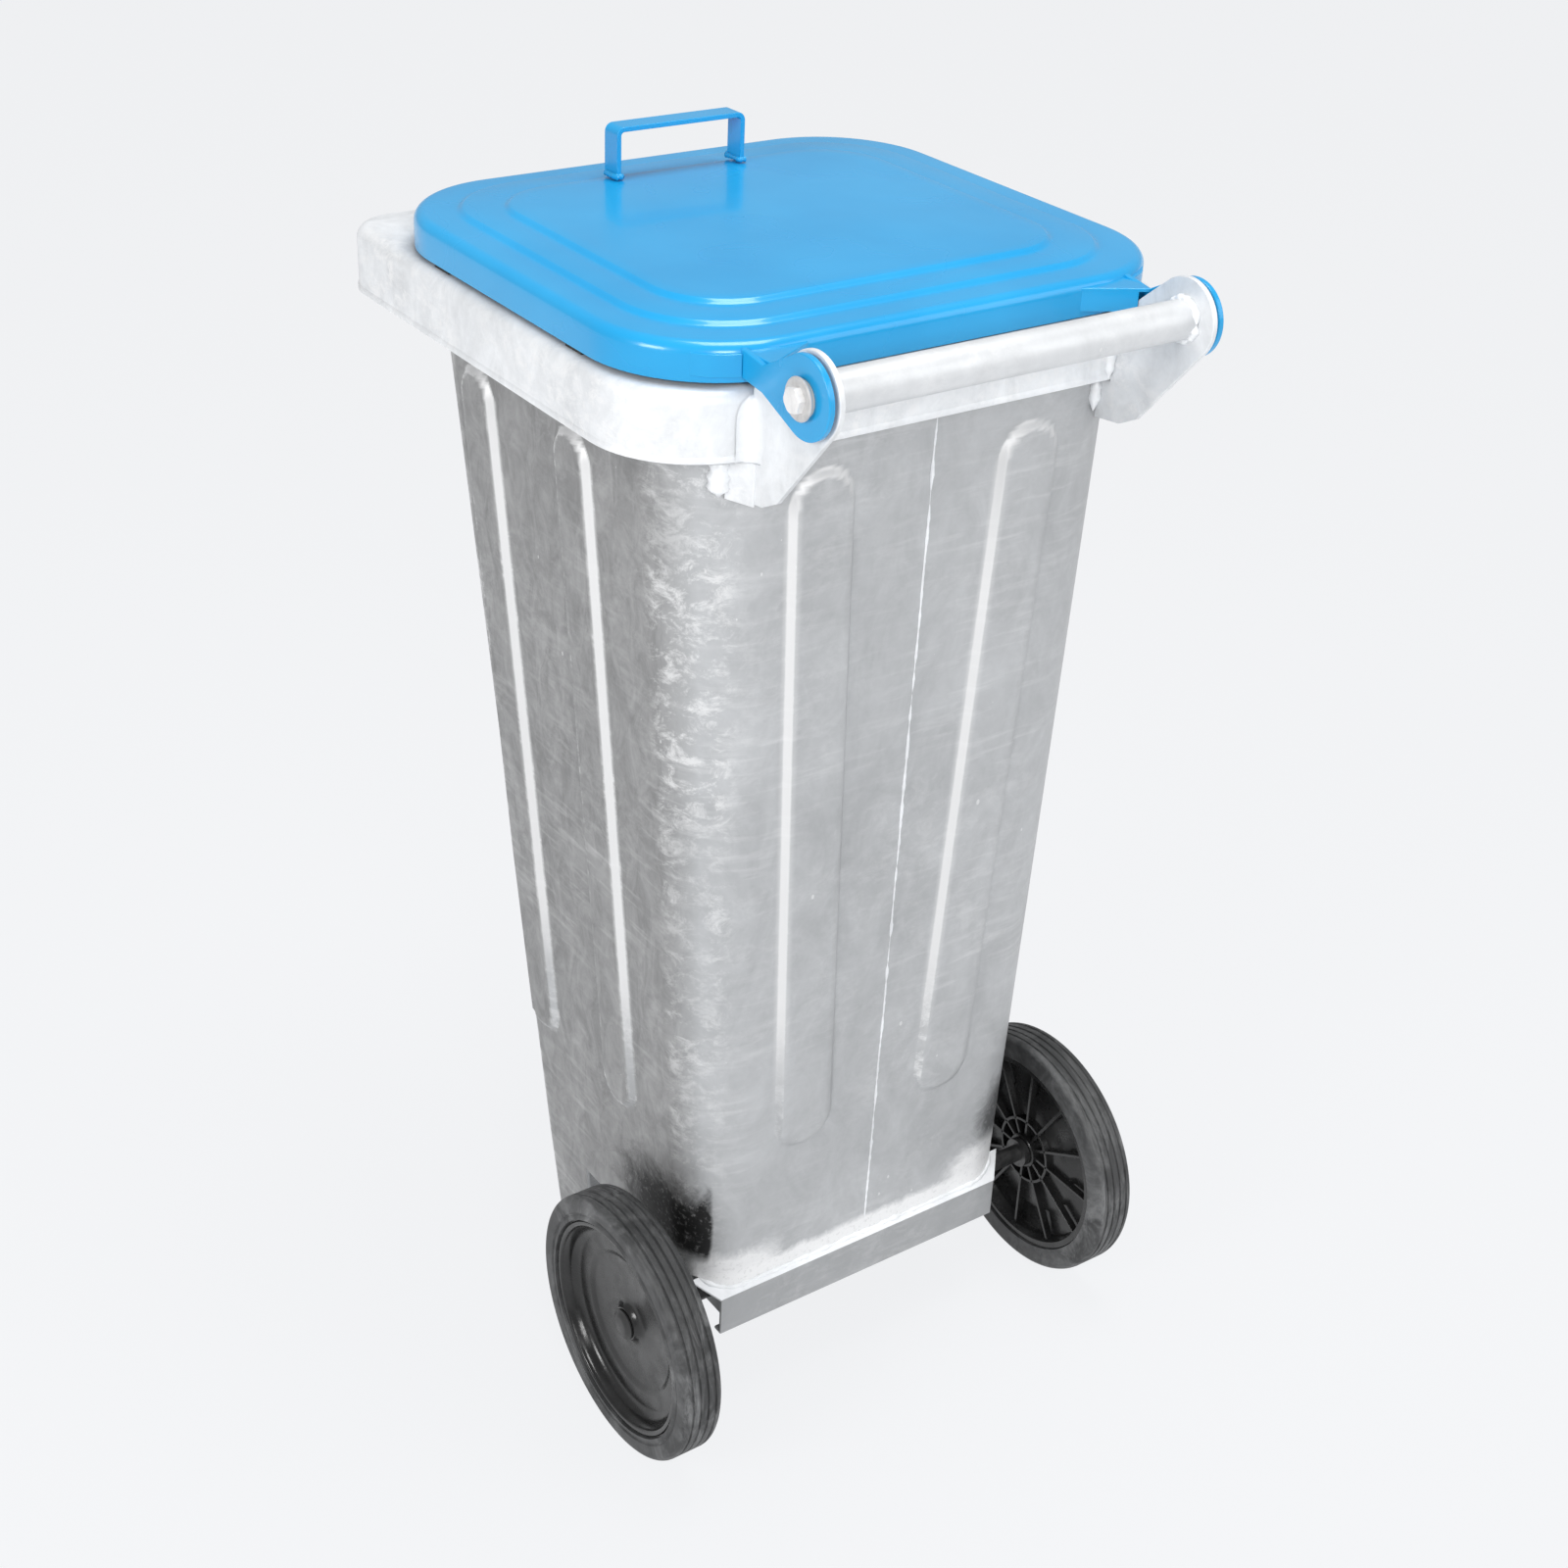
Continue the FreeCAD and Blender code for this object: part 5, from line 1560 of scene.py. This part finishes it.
@dataclass
class Wheel:
    """One wheel: solid grooved tyre, dished disc with steps outside and ribs inside."""

    side: Side
    inner: float = 0.209
    outer: float = 0.246
    radius: float = 0.120
    seat: float = 0.099
    shoulder: float = 0.0055
    grooves: int = 4
    groove: float = 0.0016
    groove_width: float = 0.0024
    felloe: float = 0.092
    disc_face: float = 0.229
    disc_plate: float = 0.005
    step_radius: float = 0.066
    step: float = 0.003
    hub: float = 0.017
    hub_inner: float = 0.212
    hub_outer: float = 0.233
    bore: float = 0.0109
    spokes: int = 12
    rib: float = 0.003
    ring_rib: float = 0.031
    dish: float = 0.009
    lip: float = 0.002
    wall_step: tuple[Pair, ...] = ((0.0005, 0.0035), (0.0014, 0.0045), (0.0014, 0.0055),
                                   (0.0002, 0.0066))
    groove_shape: tuple[Pair, ...] = ((1.0, 0.0), (0.55, 0.8), (0.0, 1.0), (-0.55, 0.8),
                                      (-1.0, 0.0))
    turns: int = 128

    @property
    def rider(self) -> Rider:
        """The wheel's own body."""
        return Rider.WHEEL_LEFT if self.side is Side.LEFT else Rider.WHEEL_RIGHT

    def tyre_profile(self) -> list[Pair]:
        """Give the tyre's section as (x, radius) points, outside first."""
        round_high = self.radius - self.shoulder
        pitch = (self.outer - self.inner) / (self.grooves + 1)
        points = [(self.outer - inset, self.seat + rise) for inset, rise in self.wall_step]
        points += arc((self.outer - self.shoulder, round_high), self.shoulder, 0.0, QUARTER, 6)
        for number in range(self.grooves, 0, -1):
            centre = self.inner + pitch * number
            points += [(centre + self.groove_width / 2 * across, self.radius - self.groove * deep)
                       for across, deep in self.groove_shape]
        points += arc((self.inner + self.shoulder, round_high), self.shoulder, QUARTER, math.pi, 6)
        return points + [(self.inner, self.seat), (self.inner + 0.004, self.seat - 0.0005),
                         (self.outer - 0.004, self.seat - 0.0005), (self.outer, self.seat)]

    def disc_profile(self) -> list[Pair]:
        """Give the disc's section as (x, radius) points, outside first."""
        face, back = self.disc_face, self.disc_face - self.disc_plate
        outer, inner = self.outer - 0.002, self.inner + 0.002
        low_face, low_back = face - self.step, back - self.step
        points = [(self.hub_outer, self.bore), (self.hub_outer, self.hub - 0.004),
                  (self.hub_outer - 0.0008, self.hub - 0.0020), (low_face + 0.0022, self.hub),
                  (low_face + 0.0006, self.hub + 0.0025), (low_face, self.hub + 0.006),
                  (low_face, self.step_radius - 0.006),
                  (low_face + 0.0008, self.step_radius - 0.0035),
                  (face - 0.0006, self.step_radius - 0.0005), (face, self.step_radius + 0.002)]
        points += arc((face + self.dish, self.felloe - 0.0115), self.dish, math.pi, QUARTER, 6)
        points.append((outer - 0.0035, self.felloe - 0.0006))
        points += arc((outer - self.lip, self.felloe + 0.0024), self.lip, -QUARTER, 0.0, 4)
        return points + [
            (outer, self.felloe + 0.0046), (outer - 0.0016, self.felloe + 0.0058),
            (outer - 0.0016, self.felloe + 0.0072), (outer - 0.0006, self.felloe + 0.0084),
            (outer - 0.001, self.seat - 0.0002), (inner + 0.001, self.seat - 0.0002),
            (inner, self.seat - 0.001), (inner, self.felloe + 0.0006),
            (inner + 0.0008, self.felloe), (back - 0.001, self.felloe - 0.002),
            (back, self.felloe - 0.003), (back, self.step_radius),
            (low_back, self.step_radius - 0.005), (low_back, self.hub),
            (self.hub_inner + 0.001, self.hub), (self.hub_inner, self.hub - 0.001),
            (self.hub_inner, self.bore)]

    def build_ribs(self) -> None:
        """Make the radial ribs and the ring rib on the wheel's inner side."""
        skin = Skin(f"wheel_ribs_{self.side.word}")
        sign = self.side.value
        start = self.inner + 0.006
        end = self.disc_face - self.step - self.disc_plate + 0.001
        for number in range(self.spokes):
            angle = math.tau * number / self.spokes
            out = Vector((0, math.cos(angle), math.sin(angle)))
            across = Vector((0, -math.sin(angle), math.cos(angle))) * (self.rib / 2)
            low = AXLE + out * (self.hub - 0.001)
            high = AXLE + out * (self.felloe + 0.001)
            outline = [Vector((start * sign, 0, 0)) + place + edge
                       for place, edge in ((low, -across), (high, -across), (high, across),
                                           (low, across))]
            skin.prism(outline, Vector(((end - start) * sign, 0, 0)))
        skin.turn([(start, self.ring_rib), (end, self.ring_rib), (end, self.ring_rib + self.rib),
                   (start, self.ring_rib + self.rib)], AXLE, sign, self.turns)
        ribs = skin.build(WHEEL_PLASTIC, bevel=0.0005, segments=2)
        hand_over(ribs, self.rider, "wheel_plastic")

    def build(self) -> None:
        """Make tyre and disc, and dress what holds the wheel on the axle."""
        word, sign = self.side.word, self.side.value
        tyre = Skin(f"solid_tyre_{word}")
        tyre.turn(self.tyre_profile(), AXLE, sign, self.turns)
        hand_over(tyre.build(TYRE_RUBBER, sharp=35.0), self.rider, "tyre_rubber", f"tyre_{word}")
        disc = Skin(f"dished_disc_{word}")
        disc.turn(self.disc_profile(), AXLE, sign, self.turns)
        hand_over(disc.build(WHEEL_PLASTIC, sharp=38.0), self.rider, "wheel_plastic",
                  f"wheel_disc_{word}")
        self.build_ribs()
        self.build_cap()
        dress_node(f"hub_sleeve_{word}", AXLE_STEEL)
        dress_node(f"axle_collar_{word}", AXLE_STEEL)

    def build_cap(self) -> None:
        """Make the pressed cap that holds the wheel on the axle's end."""
        word, sign = self.side.word, self.side.value
        start, depth, radius, bore = self.hub_outer + 0.0006, 0.0046, 0.014, 0.00802
        skin = Skin(f"push_cap_{word}")
        profile = [(start, bore), (start, radius), (start + 0.0012, radius),
                   (start + 0.0018, radius - 0.0012), (start + depth - 0.0014, bore + 0.0028),
                   (start + depth - 0.0004, bore + 0.0016), (start + depth, bore - 0.0006),
                   (start + depth, 0.0004), (start + depth - 0.0012, 0.0004),
                   (start + depth - 0.0014, bore)]
        skin.turn(profile, AXLE, sign, 48)
        hand_over(skin.build(BLACK_PLASTIC), Rider.BIN, "black_plastic", f"axle_cap_{word}")


# ---------------------------------------------------------------- studio


@dataclass(frozen=True)
class Lamp:
    """A square soft lamp: its place, what it is aimed at, its size and its power in watts."""

    name: str
    place: Point
    size: float
    power: float
    aim: Point = (0.0, 0.0, 0.55)


@dataclass
class Studio:
    """Camera, pale floor, soft lamps and the even light round them."""

    image: int = 1600
    focal_pixels: float = 2334.6
    centre_pixel: tuple[float, float] = (797.1, 800.0)
    place: Point = (1.00122, 1.40542, 1.52802)
    yaw: float = 3.765
    pitch: float = 0.528
    roll: float = 0.046
    backdrop: Colour = (0.896, 0.905, 0.922, 1.0)
    sensor: float = 36.0
    room_light: float = 0.46
    floor_glow: float = 0.93
    lamps: tuple[Lamp, ...] = (
        Lamp("overhead_key", (-0.35, 0.15, 3.3), 1.3, 44.0, (0.0, 0.0, 0.9)),
        Lamp("rear_key", (1.05, 2.75, 2.05), 0.8, 34.0, (0.1, 0.1, 0.4)),
        Lamp("left_fill", (2.6, 0.6, 1.75), 0.9, 34.0),
        Lamp("right_fill", (-2.2, 2.6, 2.2), 2.2, 26.0),
    )

    def build_camera(self) -> None:
        """Place the camera where the photograph was taken from."""
        forward = Vector((math.sin(self.yaw) * math.cos(self.pitch),
                          math.cos(self.yaw) * math.cos(self.pitch), -math.sin(self.pitch)))
        level = Vector((math.cos(self.yaw), -math.sin(self.yaw), 0.0))
        upright = level.cross(forward)
        right = level * math.cos(self.roll) + upright * math.sin(self.roll)
        up = upright * math.cos(self.roll) - level * math.sin(self.roll)
        data = bpy.data.cameras.new("photo_camera")
        data.sensor_width = self.sensor
        data.lens = self.focal_pixels * self.sensor / self.image
        data.shift_x = (self.image / 2 - self.centre_pixel[0]) / self.image
        data.shift_y = (self.centre_pixel[1] - self.image / 2) / self.image
        camera = bpy.data.objects.new("photo_camera", data)
        bpy.context.scene.collection.objects.link(camera)
        frame_axes = Matrix((right, up, -forward)).transposed().to_4x4()
        camera.matrix_world = Matrix.Translation(self.place) @ frame_axes
        bpy.context.scene.camera = camera

    def build_floor(self) -> None:
        """Lay a wide pale floor that keeps a soft shadow."""
        reach, height = 40.0, -0.0002
        corners = [(x * reach, y * reach, height)
                   for x, y in ((-1, -1), (1, -1), (1, 1), (-1, 1))]
        graph = Graph("pale_floor")
        graph.paint("Base Color", self.backdrop)
        graph.paint("Roughness", 0.9)
        graph.paint("Specular IOR Level", 0.0)
        glow = graph.node("Emission", Color=self.backdrop, Strength=1.0)
        rays = graph.node("LightPath")
        seen = graph.join("MAXIMUM", rays.outputs["Is Camera Ray"], rays.outputs["Is Glossy Ray"])
        seen = graph.join("MAXIMUM", seen, rays.outputs["Is Transmission Ray"])
        both = graph.node("MixShader", Fac=graph.times(seen, self.floor_glow))
        graph.feed(both.inputs[1], graph.surface.outputs["BSDF"])
        graph.feed(both.inputs[2], glow.outputs["Emission"])
        out = graph.tree.nodes["Material Output"]
        graph.feed(out.inputs["Surface"], both.outputs["Shader"])
        mesh = bpy.data.meshes.new("pale_floor")
        mesh.from_pydata(corners, [], [(0, 1, 2, 3)])
        mesh.materials.append(graph.material)
        floor = bpy.data.objects.new("pale_floor", mesh)
        bpy.context.scene.collection.objects.link(floor)

    def build_world(self) -> None:
        """Set the even light that comes from all round."""
        world = bpy.data.worlds.new("soft_room")
        bpy.context.scene.world = world
        world.use_nodes = True
        tree = world.node_tree
        background = tree.nodes["Background"]
        background.inputs["Color"].default_value = self.backdrop
        rays = tree.nodes.new("ShaderNodeLightPath")
        strength = tree.nodes.new("ShaderNodeMapRange")
        strength.inputs["To Min"].default_value = self.room_light
        strength.inputs["To Max"].default_value = 1.0
        tree.links.new(rays.outputs["Is Camera Ray"], strength.inputs["Value"])
        tree.links.new(strength.outputs["Result"], background.inputs["Strength"])

    def build_lamps(self) -> None:
        """Hang the soft lamps."""
        for plan in self.lamps:
            data = bpy.data.lights.new(plan.name, "AREA")
            data.shape = "SQUARE"
            data.size = plan.size
            data.energy = plan.power
            lamp = bpy.data.objects.new(plan.name, data)
            bpy.context.scene.collection.objects.link(lamp)
            aim = Vector(plan.aim) - Vector(plan.place)
            lamp.rotation_mode = "QUATERNION"
            lamp.rotation_quaternion = aim.to_track_quat("-Z", "Y")
            lamp.location = plan.place
            lamp.visible_camera = False

    def build(self) -> None:
        """Make the whole studio."""
        bpy.context.scene.view_settings.view_transform = "Standard"
        self.build_camera()
        self.build_floor()
        self.build_world()
        self.build_lamps()
        log.info("studio ready")


def main() -> None:
    """Build every sub-assembly in order."""
    logging.basicConfig(level=logging.INFO, format="%(message)s")
    Studio().build()
    BodySheet().build()
    FrontFoot().build()
    RimFrame().build()
    HandleTube().build()
    for side in Side:
        HingeSide(side).build()
        Wheel(side).build()
    AxleChannel().build()
    dress_node("axle", AXLE_STEEL)
    LidSheet().build()


if __name__ == "__main__":
    main()
